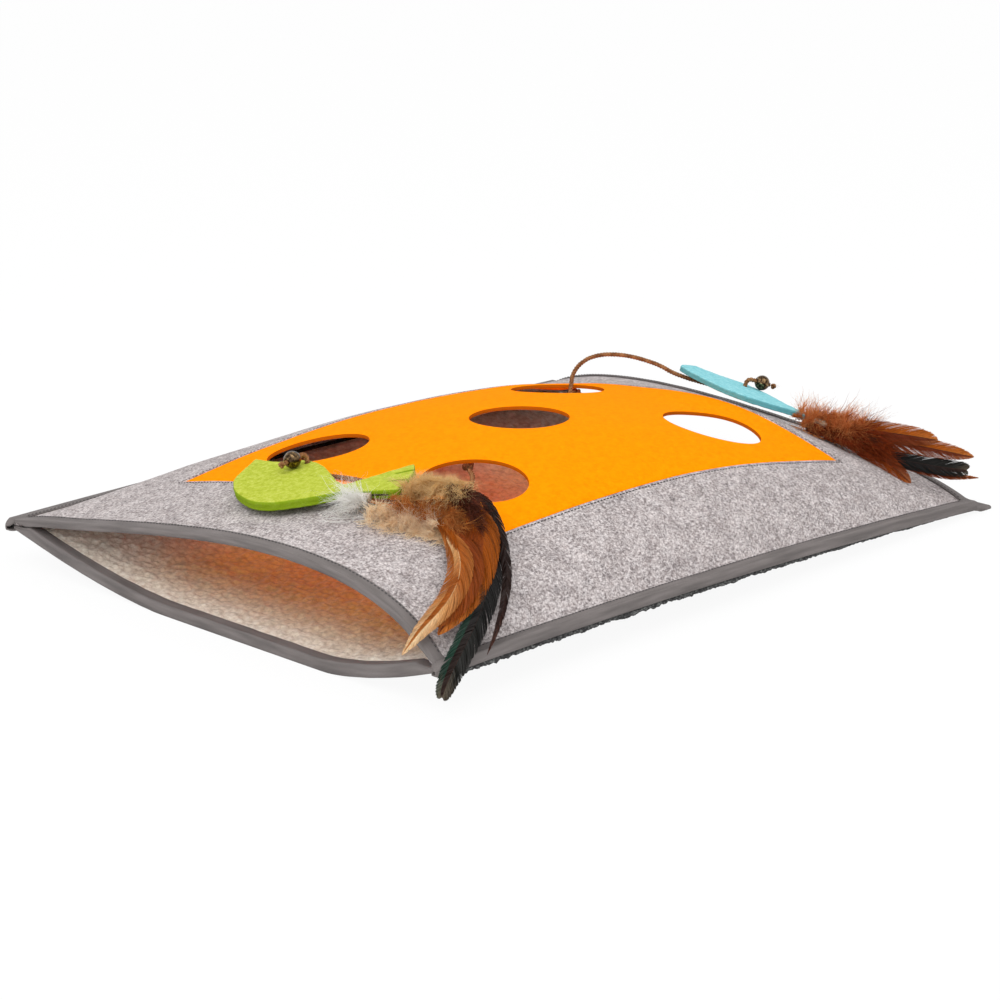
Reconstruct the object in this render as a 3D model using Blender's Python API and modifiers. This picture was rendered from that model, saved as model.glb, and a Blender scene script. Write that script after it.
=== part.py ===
import math

import bmesh
import bpy
from mathutils import Matrix, Vector

# Tunnel shell, in metres: +X runs along the tunnel, +Y across it, +Z up
tunnelLength = 0.600
tunnelWidth = 0.456
archRiseMiddle = 0.0646
archRiseFront = 0.0360
archRiseRear = 0.0275
seamHeightFrontFar = 0.0325
seamHeightFrontNear = 0.0311
seamHeightRearNear = 0.0092
seamHeightRearFar = 0.0321
seamBowNear = 0.0058
seamBowFar = 0.0094
seamAllowance = 0.0100
fleeceInset = 0.0200

# How the arch falls to the mouths, leans sideways and meets the side seams
archFallPower = 1.85
archCrossMiddlePower = 0.593
archCrossEndPower = 0.695
seamBlendPower = 8
leanMiddleShare = -0.305
leanFrontShare = -0.703
leanRearShare = 0.187
seamSteepShare = 0.97
floorFlatFarShare = 0.20
floorFlatNearShare = 0.50
floorCurlPower = 1.6

# Sheet goods and binding tape
topFeltThickness = 0.0030
baseFeltThickness = 0.0020
fleeceThickness = 0.0040
tapeThickness = 0.0010
tapeWidth = 0.0096
tapeStubFront = 0.0020
tapeStubRear = 0.0110
layerGap = 0.0003
tapeGap = 0.0005
panelGap = 0.0008
lipTapeEndInset = 0.0090

# Orange panel and its five holes
panelLength = 0.416
panelWidth = 0.292
panelShiftAlong = -0.003
panelShiftAcross = -0.0144
holeDiameter = 0.076
holeSpacingAlong = 0.263
holeSpacingAcross = 0.161

# Grid of the sheets
acrossSpans = 20
alongSpans = 16
acrossSweep = math.radians(76)
stationGap = 0.0045
holeSides = 32
cutOverrun = 0.050

# Fish toys: body, tail and twine hole
fishLength = 0.157
fishDepth = 0.085
greenFishThickness = 0.0070
greenFishLift = 0.0080
blueFishThickness = 0.0050
blueFishLift = 0.0155
fishHoleDiameter = 0.0048
fishOutlineResolution = 4
fishHoleSides = 12

# Twine, beads, knots and feathers
twineDiameter = 0.0034
twineStep = 0.0060
beadDiameter = 0.0125
beadBoreDiameter = 0.0043
beadSteps = 20
beadArcSpans = 8
loopBendRadius = 0.0040
loopTail = 0.0008
endKnotDiameter = 0.0062
anchorKnotDiameter = 0.0080
anchorRimInset = 0.0065
loopBendSpans = 5
wrapDiameter = 0.0064
wrapLength = 0.0110
wrapNeckOffset = 0.0080
wrapSpans = 3
hackleWidth = 0.0170
coqueWidth = 0.0190
slenderWidth = 0.0110
featherThickness = 0.0008
featherLayer = 0.0017
quillGap = 0.0017
featherSpans = 16
plumeDiameter = 0.0120
plumeSpans = 9
touchGap = 0.0003
normalStep = 0.0010
routeSteps = 24

halfLength = tunnelLength / 2
halfWidth = tunnelWidth / 2
archHalfWidth = halfWidth - seamAllowance
seamStack = topFeltThickness + layerGap + baseFeltThickness

# Outline of both fish as shares of fishLength and fishDepth; True marks a sharp corner
fishBodyShares = [
    (-0.401, 0.188, False), (-0.369, 0.518, True), (-0.293, 0.462, False), (-0.210, 0.441, False),
    (-0.127, 0.468, False), (-0.051, 0.459, False), (0.038, 0.365, False), (0.102, 0.259, False),
    (0.178, 0.106, False), (0.242, -0.012, False), (0.299, -0.082, True),
]
fishTailShares = [
    (0.400, 0.141, False), (0.510, 0.388, True), (0.545, 0.275, True), (0.430, 0.090, True),
    (0.556, 0.235, True), (0.578, 0.060, True), (0.450, -0.030, True), (0.583, 0.010, True),
    (0.599, -0.188, True), (0.357, -0.259, True),
]
fishBellyShares = [
    (0.325, -0.235, True), (0.166, -0.400, False), (0.006, -0.482, False), (-0.172, -0.318, False),
    (-0.318, -0.071, False), (-0.382, 0.071, False),
]

# Places along a route: share of halfLength, share of halfWidth, lift above the felt in twine diameters
greenTwineShares = [
    (-0.3733, -0.3120, -3.30), (-0.4030, -0.3400, -4.30), (-0.4430, -0.3640, -4.70),
    (-0.4830, -0.3760, -4.00), (-0.5200, -0.3700, -1.70), (-0.5560, -0.3500, 0.72),
    (-0.5867, -0.3246, 0.66), (-0.6067, -0.2895, 0.62), (-0.6200, -0.2368, 0.60),
    (-0.6267, -0.1754, 0.60), (-0.6300, -0.1140, 0.60), (-0.6333, -0.0526, 0.60),
    (-0.6400, 0.0100, 0.60), (-0.6530, 0.0580, 0.60),
]
blueTwineShares = [
    (0.5330, 0.3430, -4.10), (0.5190, 0.3370, -3.30), (0.5190, 0.3370, -1.50),
    (0.5270, 0.3400, 0.55), (0.5350, 0.3420, 2.60), (0.5480, 0.3289, 4.90),
    (0.5683, 0.3048, 6.70), (0.5950, 0.2737, 7.70), (0.6217, 0.2421, 8.00),
    (0.6500, 0.2083, 7.90), (0.6797, 0.1737, 7.40), (0.7127, 0.1346, 6.50),
    (0.7407, 0.1013, 5.20), (0.7700, 0.0614, 4.40), (0.8000, 0.0154, 4.00),
    (0.8333, -0.0461, 3.70),
]
greenFeatherShares = [
    (-0.7160, -0.5180, 3.30), (-0.6670, -0.6360, 3.90), (-0.6830, -0.7890, 4.60),
    (-0.7600, -0.9300, 5.90), (-0.8730, -1.0220, 3.60), (-0.9730, -1.0480, -3.00),
    (-1.0130, -1.0350, -6.60),
]
blueFeatherShares = [
    (0.8470, -0.6360, 3.80), (0.8730, -0.7890, 6.30), (0.9000, -0.9300, 10.50),
    (0.9230, -1.0480, 12.20),
]

# Feathers: name, colour, width, stations reached, sideways drift as a share of fishLength, layer
greenFeathers = [
    ("long_dark_coque", (0.015, 0.022, 0.018), coqueWidth, 16, 0.00, -1.5),
    ("short_dark_coque", (0.020, 0.014, 0.012), slenderWidth, 13, -0.06, -0.5),
    ("long_orange_hackle", (0.62, 0.22, 0.03), hackleWidth, 14, 0.27, 0.5),
    ("short_orange_hackle", (0.70, 0.30, 0.06), hackleWidth, 11, 0.14, 1.5),
]
blueFeathers = [
    ("dark_coque", (0.015, 0.022, 0.018), coqueWidth, 15, 0.05, -1.5),
    ("long_rust_hackle", (0.30, 0.07, 0.02), hackleWidth, 16, 0.12, -0.5),
    ("upper_rust_hackle", (0.36, 0.10, 0.03), hackleWidth, 13, -0.06, 0.5),
    ("lower_rust_hackle", (0.40, 0.12, 0.04), slenderWidth, 11, 0.16, 1.5),
]

# Downy plumes: name, colour and resting line in shares of halfLength and halfWidth
greenPlumes = [
    ("cream_plume", (0.66, 0.53, 0.38),
     [(-0.8000, -0.4300), (-0.7830, -0.4850), (-0.7670, -0.5350), (-0.7430, -0.5850)]),
    ("tan_plume", (0.36, 0.20, 0.10),
     [(-0.6800, -0.4650), (-0.6450, -0.5050), (-0.6100, -0.5450), (-0.5750, -0.5850)]),
]
bluePlumes = [
    ("rust_plume", (0.42, 0.16, 0.06),
     [(0.7800, -0.5200), (0.7850, -0.5700), (0.7950, -0.6200), (0.8100, -0.6700)]),
]

greenToy = {
    "name": "green",
    "colour": (0.42, 0.68, 0.03),
    "thickness": greenFishThickness,
    "lift": greenFishLift,
    "placeShares": (-0.7523, -0.0350),
    "yaw": -73.9,
    "pitch": -7.4,
    "roll": 7.0,
    "holeShares": (-0.057, 0.420),
    "beadShares": (-0.077, 0.268),
    "anchorHole": (-1, -1),
    "anchorAngle": 50.0,
    "twine": greenTwineShares,
    "facing": (-0.45, -0.65, 0.60),
    "featherLine": greenFeatherShares,
    "feathers": greenFeathers,
    "plumes": greenPlumes,
}
blueToy = {
    "name": "blue",
    "colour": (0.13, 0.50, 0.53),
    "thickness": blueFishThickness,
    "lift": blueFishLift,
    "placeShares": (0.8073, -0.1724),
    "yaw": -68.6,
    "pitch": 14.6,
    "roll": -11.6,
    "holeShares": (-0.051, 0.266),
    "beadShares": (0.021, 0.353),
    "anchorHole": (1, 1),
    "anchorAngle": 22.0,
    "twine": blueTwineShares,
    "facing": (-0.80, -0.30, 0.50),
    "featherLine": blueFeatherShares,
    "feathers": blueFeathers,
    "plumes": bluePlumes,
}


def clearScene():
    for thing in list(bpy.data.objects):
        bpy.data.objects.remove(thing, do_unlink=True)
    for group in list(bpy.data.collections):
        bpy.data.collections.remove(group)


def newCollection(name):
    group = bpy.data.collections.new(name)
    bpy.context.scene.collection.children.link(group)
    return group


def newMaterial(name, colour, roughness, metallic=0.0):
    material = bpy.data.materials.new(name)
    material.use_nodes = True
    shader = material.node_tree.nodes["Principled BSDF"]
    shader.inputs["Base Color"].default_value = (*colour, 1.0)
    shader.inputs["Roughness"].default_value = roughness
    shader.inputs["Metallic"].default_value = metallic
    material.diffuse_color = (*colour, 1.0)
    return material


def finish(thing, colour, roughness, metallic=0.0, matrix=None):
    thing.data.materials.append(newMaterial(thing.name, colour, roughness, metallic))
    if matrix is not None:
        thing.matrix_world = matrix
    return thing


def clamp(value, low, high):
    return max(low, min(high, value))


# Shape of the shell: one function for the felt on top, one for the felt below

def seamHeight(x, y):
    across = clamp(y / archHalfWidth, -1, 1)
    along = clamp(x / halfLength, -1, 1)
    near = (1 - across) / 2
    rear = (1 + along) / 2
    front = (1 - near) * seamHeightFrontFar + near * seamHeightFrontNear
    back = (1 - near) * seamHeightRearFar + near * seamHeightRearNear
    bow = (near * seamBowNear + (1 - near) * seamBowFar) * (1 - along * along)
    return (1 - rear) * front + rear * back + bow


def crossShare(across, along):
    power = archCrossMiddlePower + (archCrossEndPower - archCrossMiddlePower) * along * along
    round_ = (1 - (seamSteepShare * across) ** 2) ** power
    foot = (1 - seamSteepShare ** 2) ** power * abs(across) ** seamBlendPower
    return round_ - foot


def archTop(x, y):
    across = clamp(y / archHalfWidth, -1, 1)
    along = clamp(x / halfLength, -1, 1)
    endRise = archRiseFront if along < 0 else archRiseRear
    endLean = leanFrontShare if along < 0 else leanRearShare
    rise = archRiseMiddle - (archRiseMiddle - endRise) * abs(along) ** archFallPower
    lean = leanMiddleShare + (endLean - leanMiddleShare) * along * along
    return seamHeight(x, y) + rise * crossShare(across, along) * (1 + lean * across)


def baseUnder(x, y):
    across = clamp(y / archHalfWidth, -1, 1)
    flat = floorFlatFarShare if across > 0 else floorFlatNearShare
    curl = max(0, (abs(across) - flat) / (1 - flat))
    return (seamHeight(x, y) - seamStack) * curl ** floorCurlPower


def surfaceNormal(shape, x, y):
    slopeX = (shape(x + normalStep, y) - shape(x - normalStep, y)) / (2 * normalStep)
    slopeY = (shape(x, y + normalStep) - shape(x, y - normalStep)) / (2 * normalStep)
    return Vector((-slopeX, -slopeY, 1)).normalized()


def offsetPoint(shape, x, y, distance):
    return Vector((x, y, shape(x, y))) + surfaceNormal(shape, x, y) * distance


def withKept(stations, kept):
    low = stations[0]
    high = stations[-1]
    kept = [value for value in kept if low < value < high]
    free = [value for value in stations[1:-1] if all(abs(value - k) > stationGap for k in kept)]
    return [low] + sorted(free + kept) + [high]


panelFront = panelShiftAlong - panelLength / 2
panelRear = panelShiftAlong + panelLength / 2
panelNear = panelShiftAcross - panelWidth / 2
panelFar = panelShiftAcross + panelWidth / 2
feltEnd = halfLength - tapeThickness - tapeGap
feltSide = halfWidth - tapeThickness - tapeGap
fleeceSide = archHalfWidth - fleeceInset
lipTapeSide = archHalfWidth - lipTapeEndInset
flapEnd = halfLength - tapeWidth


def acrossStations():
    inner = []
    for i in range(acrossSpans + 1):
        angle = acrossSweep * (2 * i / acrossSpans - 1)
        inner.append(archHalfWidth * math.sin(angle) / math.sin(acrossSweep))
    kept = [panelNear, panelFar, -fleeceSide, fleeceSide, -lipTapeSide, lipTapeSide]
    return [-feltSide] + withKept(inner, kept) + [feltSide]


def alongStations():
    inner = [flapEnd * (2 * i / alongSpans - 1) for i in range(alongSpans + 1)]
    return [-feltEnd] + withKept(inner, [panelFront, panelRear]) + [feltEnd]


def between(stations, low, high):
    return [low] + [value for value in stations if low + stationGap < value < high - stationGap] + [high]


def within(stations, low, high):
    return [value for value in stations if low - stationGap < value < high + stationGap]


def gridMesh(name, rows, columns, place, openCell=None):
    mesh = bmesh.new()
    bmesh.ops.create_grid(mesh, x_segments=len(rows) - 1, y_segments=len(columns) - 1, size=0.5)
    for vertex in mesh.verts:
        row = rows[round((vertex.co.x + 0.5) * (len(rows) - 1))]
        column = columns[round((vertex.co.y + 0.5) * (len(columns) - 1))]
        vertex.co = (row, column, 0)
    if openCell:
        cells = [face for face in mesh.faces if openCell(face.calc_center_median())]
        bmesh.ops.delete(mesh, geom=cells, context="FACES")
    for vertex in mesh.verts:
        vertex.co = place(vertex.co.x, vertex.co.y)
    bmesh.ops.recalc_face_normals(mesh, faces=mesh.faces)
    if sum(face.normal.z * face.calc_area() for face in mesh.faces) < 0:
        bmesh.ops.reverse_faces(mesh, faces=mesh.faces)
    data = bpy.data.meshes.new(name)
    mesh.to_mesh(data)
    mesh.free()
    return data


def addSolidify(thing, thickness, offset):
    modifier = thing.modifiers.new("Thickness", "SOLIDIFY")
    modifier.thickness = thickness
    modifier.offset = offset
    modifier.use_even_offset = True
    modifier.use_quality_normals = True
    return modifier


def addSheet(name, group, rows, columns, place, thickness, offset, openCell=None):
    thing = bpy.data.objects.new(name, gridMesh(name, rows, columns, place, openCell))
    group.objects.link(thing)
    addSolidify(thing, thickness, offset)
    thing.data.shade_smooth()
    return thing


# Felt, panel, fleece and base

def addTopFelt(group):
    def inWindow(point):
        return panelFront < point.x < panelRear and panelNear < point.y < panelFar

    def onTop(x, y):
        return Vector((x, y, archTop(x, y)))

    thing = addSheet("top_grey_felt", group, alongStations(), acrossStations(), onTop,
                     topFeltThickness, -1, inWindow)
    return finish(thing, (0.45, 0.43, 0.43), 0.95)


def holeCentre(indexAlong, indexAcross):
    return (panelShiftAlong + indexAlong * holeSpacingAlong / 2,
            panelShiftAcross + indexAcross * holeSpacingAcross / 2)


def addPanel(group, cutters):
    def onTop(x, y):
        return Vector((x, y, archTop(x, y)))

    rows = between(alongStations(), panelFront + panelGap, panelRear - panelGap)
    columns = between(acrossStations(), panelNear + panelGap, panelFar - panelGap)
    thing = addSheet("orange_felt_panel", group, rows, columns, onTop, topFeltThickness, -1)
    for index in ((-1, -1), (-1, 1), (0, 0), (1, -1), (1, 1)):
        x, y = holeCentre(*index)
        depth = cutOverrun * 2
        bpy.ops.mesh.primitive_cylinder_add(vertices=holeSides, radius=holeDiameter / 2, depth=depth,
                                            location=(x, y, archTop(x, y)))
        cutter = bpy.context.object
        cutter.name = "hole_cutter_%d_%d" % index
        cutter.hide_render = True
        cutter.display_type = "WIRE"
        moveTo(cutters, cutter)
        cut = thing.modifiers.new("Hole", "BOOLEAN")
        cut.operation = "DIFFERENCE"
        cut.solver = "EXACT"
        cut.object = cutter
    return finish(thing, (0.95, 0.38, 0.01), 0.92)


def addBaseFelt(group):
    def onBase(x, y):
        return Vector((x, y, baseUnder(x, y)))

    thing = addSheet("base_felt", group, alongStations(), acrossStations(), onBase,
                     baseFeltThickness, 1)
    return finish(thing, (0.05, 0.05, 0.055), 0.95)


def addFleece(group):
    columns = within(acrossStations(), -fleeceSide, fleeceSide)

    def onFloor(x, y):
        return offsetPoint(baseUnder, x, y, baseFeltThickness + layerGap)

    thing = addSheet("fleece_floor", group, alongStations(), columns, onFloor, fleeceThickness, 1)
    return finish(thing, (0.86, 0.80, 0.70), 1.0)


# Binding tape: a folded strip round each edge of the shell

def tapeMesh(name, rows, sectionPoint):
    mesh = bmesh.new()
    bmesh.ops.create_grid(mesh, x_segments=len(rows) - 1, y_segments=3, size=0.5)
    for vertex in mesh.verts:
        row = rows[round((vertex.co.x + 0.5) * (len(rows) - 1))]
        corner = round((vertex.co.y + 0.5) * 3)
        vertex.co = sectionPoint(row, corner)
    bmesh.ops.recalc_face_normals(mesh, faces=mesh.faces)
    data = bpy.data.meshes.new(name)
    mesh.to_mesh(data)
    mesh.free()
    return data


def addTape(name, group, rows, sectionPoint, outward):
    data = tapeMesh(name, rows, sectionPoint)
    middle = [face for face in data.polygons if abs(face.normal.dot(Vector(outward))) > 0.5]
    if sum(face.normal.dot(Vector(outward)) for face in middle) < 0:
        data.flip_normals()
    thing = bpy.data.objects.new(name, data)
    group.objects.link(thing)
    addSolidify(thing, tapeThickness, -1)
    return finish(thing, (0.19, 0.18, 0.18), 0.8)


def lipPoint(shape, side, y, reachesPast, distance):
    if not reachesPast:
        return offsetPoint(shape, side * flapEnd, y, distance)
    x = side * feltEnd
    slope = (shape(x + normalStep, y) - shape(x - normalStep, y)) / (2 * normalStep)
    past = Vector((1, 0, slope)).normalized() * side * (tapeGap + tapeThickness)
    return offsetPoint(shape, x, y, distance) + past


def addUpperLipTape(name, group, side):
    rows = within(acrossStations(), -lipTapeSide, lipTapeSide)
    above = tapeGap + tapeThickness
    below = -(topFeltThickness + tapeGap + tapeThickness)

    def section(y, corner):
        return lipPoint(archTop, side, y, corner in (1, 2), above if corner < 2 else below)

    return addTape(name, group, rows, section, (side, 0, 0))


def fleeceCover(y):
    return clamp((lipTapeSide - abs(y)) / (lipTapeSide - fleeceSide), 0, 1)


def addLowerLipTape(name, group, side):
    rows = within(acrossStations(), -lipTapeSide, lipTapeSide)
    below = -(tapeGap + tapeThickness)

    def section(y, corner):
        stack = baseFeltThickness + (layerGap + fleeceThickness) * fleeceCover(y)
        above = stack + tapeGap + tapeThickness
        return lipPoint(baseUnder, side, y, corner in (1, 2), above if corner < 2 else below)

    return addTape(name, group, rows, section, (side, 0, 0))


def addSideTape(name, group, side):
    rows = [-halfLength - tapeStubFront] + alongStations() + [halfLength + tapeStubRear]

    def section(x, corner):
        reach = halfWidth - tapeWidth if corner in (0, 3) else halfWidth
        top = seamHeight(x, side * halfWidth) + tapeGap + tapeThickness
        under = seamHeight(x, side * halfWidth) - seamStack - tapeGap - tapeThickness
        return Vector((x, side * reach, top if corner < 2 else under))

    return addTape(name, group, rows, section, (0, side, 0))


# Toys

def toyMatrix(toy):
    x = toy["placeShares"][0] * halfLength
    y = toy["placeShares"][1] * halfWidth
    turn = (Matrix.Rotation(math.radians(toy["yaw"]), 4, "Z")
            @ Matrix.Rotation(math.radians(toy["pitch"]), 4, "Y")
            @ Matrix.Rotation(math.radians(toy["roll"]), 4, "X"))
    return Matrix.Translation((x, y, archTop(x, y) + toy["lift"])) @ turn


def fishPlace(shares):
    return Vector((shares[0] * fishLength, shares[1] * fishDepth, 0))


def routePoint(shares):
    x = shares[0] * halfLength
    y = shares[1] * halfWidth
    return Vector((x, y, archTop(x, y) + shares[2] * twineDiameter))


def moveTo(group, thing):
    for owner in list(thing.users_collection):
        owner.objects.unlink(thing)
    group.objects.link(thing)


def addFish(group, toy):
    name = toy["name"] + "_felt_fish"
    curve = bpy.data.curves.new(name, "CURVE")
    curve.dimensions = "2D"
    curve.fill_mode = "BOTH"
    curve.extrude = toy["thickness"] / 2
    curve.resolution_u = fishOutlineResolution
    outline = fishBodyShares + fishTailShares + fishBellyShares
    spline = curve.splines.new("BEZIER")
    spline.bezier_points.add(len(outline) - 1)
    spline.use_cyclic_u = True
    for point, (along, across, sharp) in zip(spline.bezier_points, outline):
        point.co = fishPlace((along, across))
        kind = "VECTOR" if sharp else "AUTO"
        point.handle_left_type = kind
        point.handle_right_type = kind
    centre = fishPlace(toy["holeShares"])
    ring = curve.splines.new("POLY")
    ring.points.add(fishHoleSides - 1)
    ring.use_cyclic_u = True
    for i, point in enumerate(ring.points):
        angle = 2 * math.pi * i / fishHoleSides
        place = centre + Vector((math.cos(angle), math.sin(angle), 0)) * fishHoleDiameter / 2
        point.co = (*place, 1)
    thing = bpy.data.objects.new(name, curve)
    group.objects.link(thing)
    return finish(thing, toy["colour"], 0.9, matrix=toyMatrix(toy))


def addBall(name, group, diameter, centre, colour):
    bpy.ops.mesh.primitive_uv_sphere_add(segments=12, ring_count=8, radius=diameter / 2)
    thing = bpy.context.object
    thing.name = name
    thing.data.name = name
    moveTo(group, thing)
    thing.data.shade_smooth()
    return finish(thing, colour, 0.95, matrix=Matrix.Translation(centre))


def curvePoint(a, b, c, d, t):
    return 0.5 * (2 * b + (c - a) * t + (2 * a - 5 * b + 4 * c - d) * t * t
                  + (3 * b - a - 3 * c + d) * t * t * t)


def smoothRoute(points, spans):
    padded = [points[0] * 2 - points[1]] + points + [points[-1] * 2 - points[-2]]
    fine = []
    for i in range(len(points) - 1):
        for k in range(routeSteps):
            fine.append(curvePoint(*padded[i:i + 4], k / routeSteps))
    fine.append(points[-1].copy())
    lengths = [0]
    for i in range(1, len(fine)):
        lengths.append(lengths[-1] + (fine[i] - fine[i - 1]).length)
    if spans is None:
        spans = round(lengths[-1] / twineStep)
    route = []
    j = 0
    for i in range(spans + 1):
        target = lengths[-1] * i / spans
        while j < len(fine) - 2 and lengths[j + 1] < target:
            j += 1
        share = (target - lengths[j]) / (lengths[j + 1] - lengths[j])
        route.append(fine[j].lerp(fine[j + 1], clamp(share, 0, 1)))
    return route, lengths[-1]


def addTube(name, group, route, diameter, colour, radii=None, matrix=None):
    curve = bpy.data.curves.new(name, "CURVE")
    curve.dimensions = "3D"
    curve.bevel_depth = diameter / 2
    curve.bevel_resolution = 2
    curve.use_fill_caps = True
    spline = curve.splines.new("POLY")
    spline.points.add(len(route) - 1)
    for i, (point, place) in enumerate(zip(spline.points, route)):
        point.co = (*place, 1)
        point.radius = radii[i] if radii else 1
    thing = bpy.data.objects.new(name, curve)
    group.objects.link(thing)
    return finish(thing, colour, 0.95, matrix=matrix)


def anchorCentre(toy):
    x, y = holeCentre(*toy["anchorHole"])
    angle = math.radians(toy["anchorAngle"])
    reach = holeDiameter / 2 + anchorRimInset
    drop = topFeltThickness + touchGap * 1.5 + anchorKnotDiameter / 2
    return offsetPoint(archTop, x + reach * math.cos(angle), y + reach * math.sin(angle), -drop)


def addTwine(group, toy):
    centre = anchorCentre(toy)
    points = [routePoint(row) for row in toy["twine"]]
    reach = anchorKnotDiameter / 2 + touchGap
    start = centre + (points[0] - centre).normalized() * reach
    under = toy["thickness"] / 2 + touchGap * 2 + twineDiameter / 2
    end = toyMatrix(toy) @ (fishPlace(toy["holeShares"]) - Vector((0, 0, under)))
    route, length = smoothRoute([start] + points + [end], None)
    name = toy["name"] + "_twine"
    print(name, "length", round(length, 4))
    addTube(name, group, route, twineDiameter, (0.30, 0.17, 0.09))
    addBall(toy["name"] + "_anchor_knot", group, anchorKnotDiameter, centre, (0.27, 0.15, 0.08))


def beadFrame(toy):
    hole = fishPlace(toy["holeShares"])
    direction = fishPlace(toy["beadShares"]) - hole
    height = toy["thickness"] / 2 + beadDiameter / 2 + touchGap
    return hole, direction, Vector((0, 0, height))


def addBeadLoop(group, toy):
    hole, direction, height = beadFrame(toy)
    unit = direction.normalized()
    up = Vector((0, 0, 1))
    corner = hole + height - up * loopBendRadius
    route = [hole - up * (toy["thickness"] / 2 + touchGap), hole, corner]
    for i in range(1, loopBendSpans + 1):
        angle = math.pi / 2 * i / loopBendSpans
        route.append(corner + up * loopBendRadius * math.sin(angle)
                     + unit * loopBendRadius * (1 - math.cos(angle)))
    route.append(hole + height + direction)
    route.append(hole + height + direction + unit * (beadDiameter / 2 + loopTail))
    return addTube(toy["name"] + "_bead_loop", group, route, twineDiameter, (0.30, 0.17, 0.09),
                   matrix=toyMatrix(toy))


def addEndKnot(group, toy):
    hole, direction, height = beadFrame(toy)
    reach = beadDiameter / 2 + loopTail + touchGap + endKnotDiameter / 2
    centre = hole + height + direction + direction.normalized() * reach
    return addBall(toy["name"] + "_end_knot", group, endKnotDiameter, toyMatrix(toy) @ centre,
                   (0.27, 0.15, 0.08))


def addBead(group, toy):
    name = toy["name"] + "_bead"
    reach = beadDiameter / 2
    start = math.asin(beadBoreDiameter / beadDiameter)
    profile = []
    for i in range(beadArcSpans + 1):
        angle = start + (math.pi - 2 * start) * i / beadArcSpans
        profile.append((reach * math.sin(angle), 0, reach * math.cos(angle)))
    data = bpy.data.meshes.new(name)
    edges = [(i, (i + 1) % len(profile)) for i in range(len(profile))]
    data.from_pydata(profile, edges, [])
    thing = bpy.data.objects.new(name, data)
    group.objects.link(thing)
    turn = thing.modifiers.new("Turned", "SCREW")
    turn.steps = beadSteps
    turn.render_steps = beadSteps
    turn.use_merge_vertices = True
    turn.merge_threshold = 0.00001
    turn.use_smooth_shade = True
    hole, direction, height = beadFrame(toy)
    spin = direction.normalized().to_track_quat("Z", "Y").to_matrix().to_4x4()
    place = toyMatrix(toy) @ Matrix.Translation(hole + height + direction) @ spin
    return finish(thing, (0.14, 0.10, 0.05), 0.35, 0.9, place)


# Feathers: a wrap at the tail's root, blades in shared layers, downy plumes resting on the felt

def wrapFrame():
    neck = fishPlace(fishTailShares[-1])
    along = (fishPlace(fishTailShares[-2]) - neck).normalized()
    aside = Vector((along.y, -along.x, 0))
    start = neck + along * wrapNeckOffset + aside * (wrapDiameter / 2 + touchGap)
    return start, along, aside


def addWrap(group, toy):
    start, along = wrapFrame()[:2]
    route = [start + along * wrapLength * i / wrapSpans for i in range(wrapSpans + 1)]
    return addTube(toy["name"] + "_feather_wrap", group, route, wrapDiameter,
                   (0.45, 0.38, 0.30), matrix=toyMatrix(toy))


def featherLine(toy):
    start, along, aside = wrapFrame()
    place = toyMatrix(toy)
    root = place @ (start + along * (wrapLength + quillGap))
    lead = place @ (start + along * wrapLength * 2 + aside * wrapDiameter / 2)
    return smoothRoute([root, lead] + [routePoint(row) for row in toy["featherLine"]], featherSpans)[0]


def bladeHalf(width, share):
    swell = math.sin(math.pi * share ** 1.3) ** 0.95 * (1.1 - 0.2 * share)
    return max(width / 2 * swell, featherThickness)


def addBlade(group, toy, line, feather):
    name, colour, width, reach, drift, layer = feather
    fullName = toy["name"] + "_" + name
    facing = Vector(toy["facing"]).normalized()
    mesh = bmesh.new()
    bmesh.ops.create_grid(mesh, x_segments=reach, y_segments=2, size=0.5)
    for vertex in mesh.verts:
        i = round((vertex.co.x + 0.5) * reach)
        side = round(vertex.co.y * 2)
        ahead = line[min(i + 1, featherSpans)] - line[max(i - 1, 0)]
        across = ahead.cross(facing).normalized()
        share = i / reach
        shift = drift * fishLength * share * share
        vertex.co = (line[i] + across * (shift + side * bladeHalf(width, share))
                     + facing * layer * featherLayer)
    bmesh.ops.recalc_face_normals(mesh, faces=mesh.faces)
    data = bpy.data.meshes.new(fullName)
    mesh.to_mesh(data)
    mesh.free()
    thing = bpy.data.objects.new(fullName, data)
    group.objects.link(thing)
    addSolidify(thing, featherThickness, 0)
    data.shade_smooth()
    return finish(thing, colour, 0.7)


def addPlume(group, toy, plume):
    name, colour, shares = plume
    flat = [Vector((a * halfLength, b * halfWidth, 0)) for a, b in shares]
    route = smoothRoute(flat, plumeSpans)[0]
    radii = []
    for i, place in enumerate(route):
        radius = 0.3 + 0.7 * math.sin(math.pi * (0.08 + 0.84 * i / plumeSpans))
        radii.append(radius)
        place.z = archTop(place.x, place.y) + plumeDiameter / 2 * radius * 1.1 + touchGap
    return addTube(toy["name"] + "_" + name, group, route, plumeDiameter, colour, radii)


def addToy(group, toy):
    addFish(group, toy)
    addTwine(group, toy)
    addBeadLoop(group, toy)
    addEndKnot(group, toy)
    addBead(group, toy)
    addWrap(group, toy)
    line = featherLine(toy)
    for feather in toy["feathers"]:
        addBlade(group, toy, line, feather)
    for plume in toy["plumes"]:
        addPlume(group, toy, plume)


def buildTunnel():
    clearScene()
    group = newCollection("cat_tunnel")
    cutters = newCollection("cutters")
    addTopFelt(group)
    addPanel(group, cutters)
    addFleece(group)
    addBaseFelt(group)
    addUpperLipTape("front_mouth_upper_binding", group, -1)
    addUpperLipTape("rear_mouth_upper_binding", group, 1)
    addLowerLipTape("front_mouth_lower_binding", group, -1)
    addLowerLipTape("rear_mouth_lower_binding", group, 1)
    addSideTape("near_side_binding", group, -1)
    addSideTape("far_side_binding", group, 1)
    addToy(group, greenToy)
    addToy(group, blueToy)
    bpy.context.view_layer.update()


buildTunnel()
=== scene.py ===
import math
import random

import bmesh
import bpy
from mathutils import Matrix, Vector, noise


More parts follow.
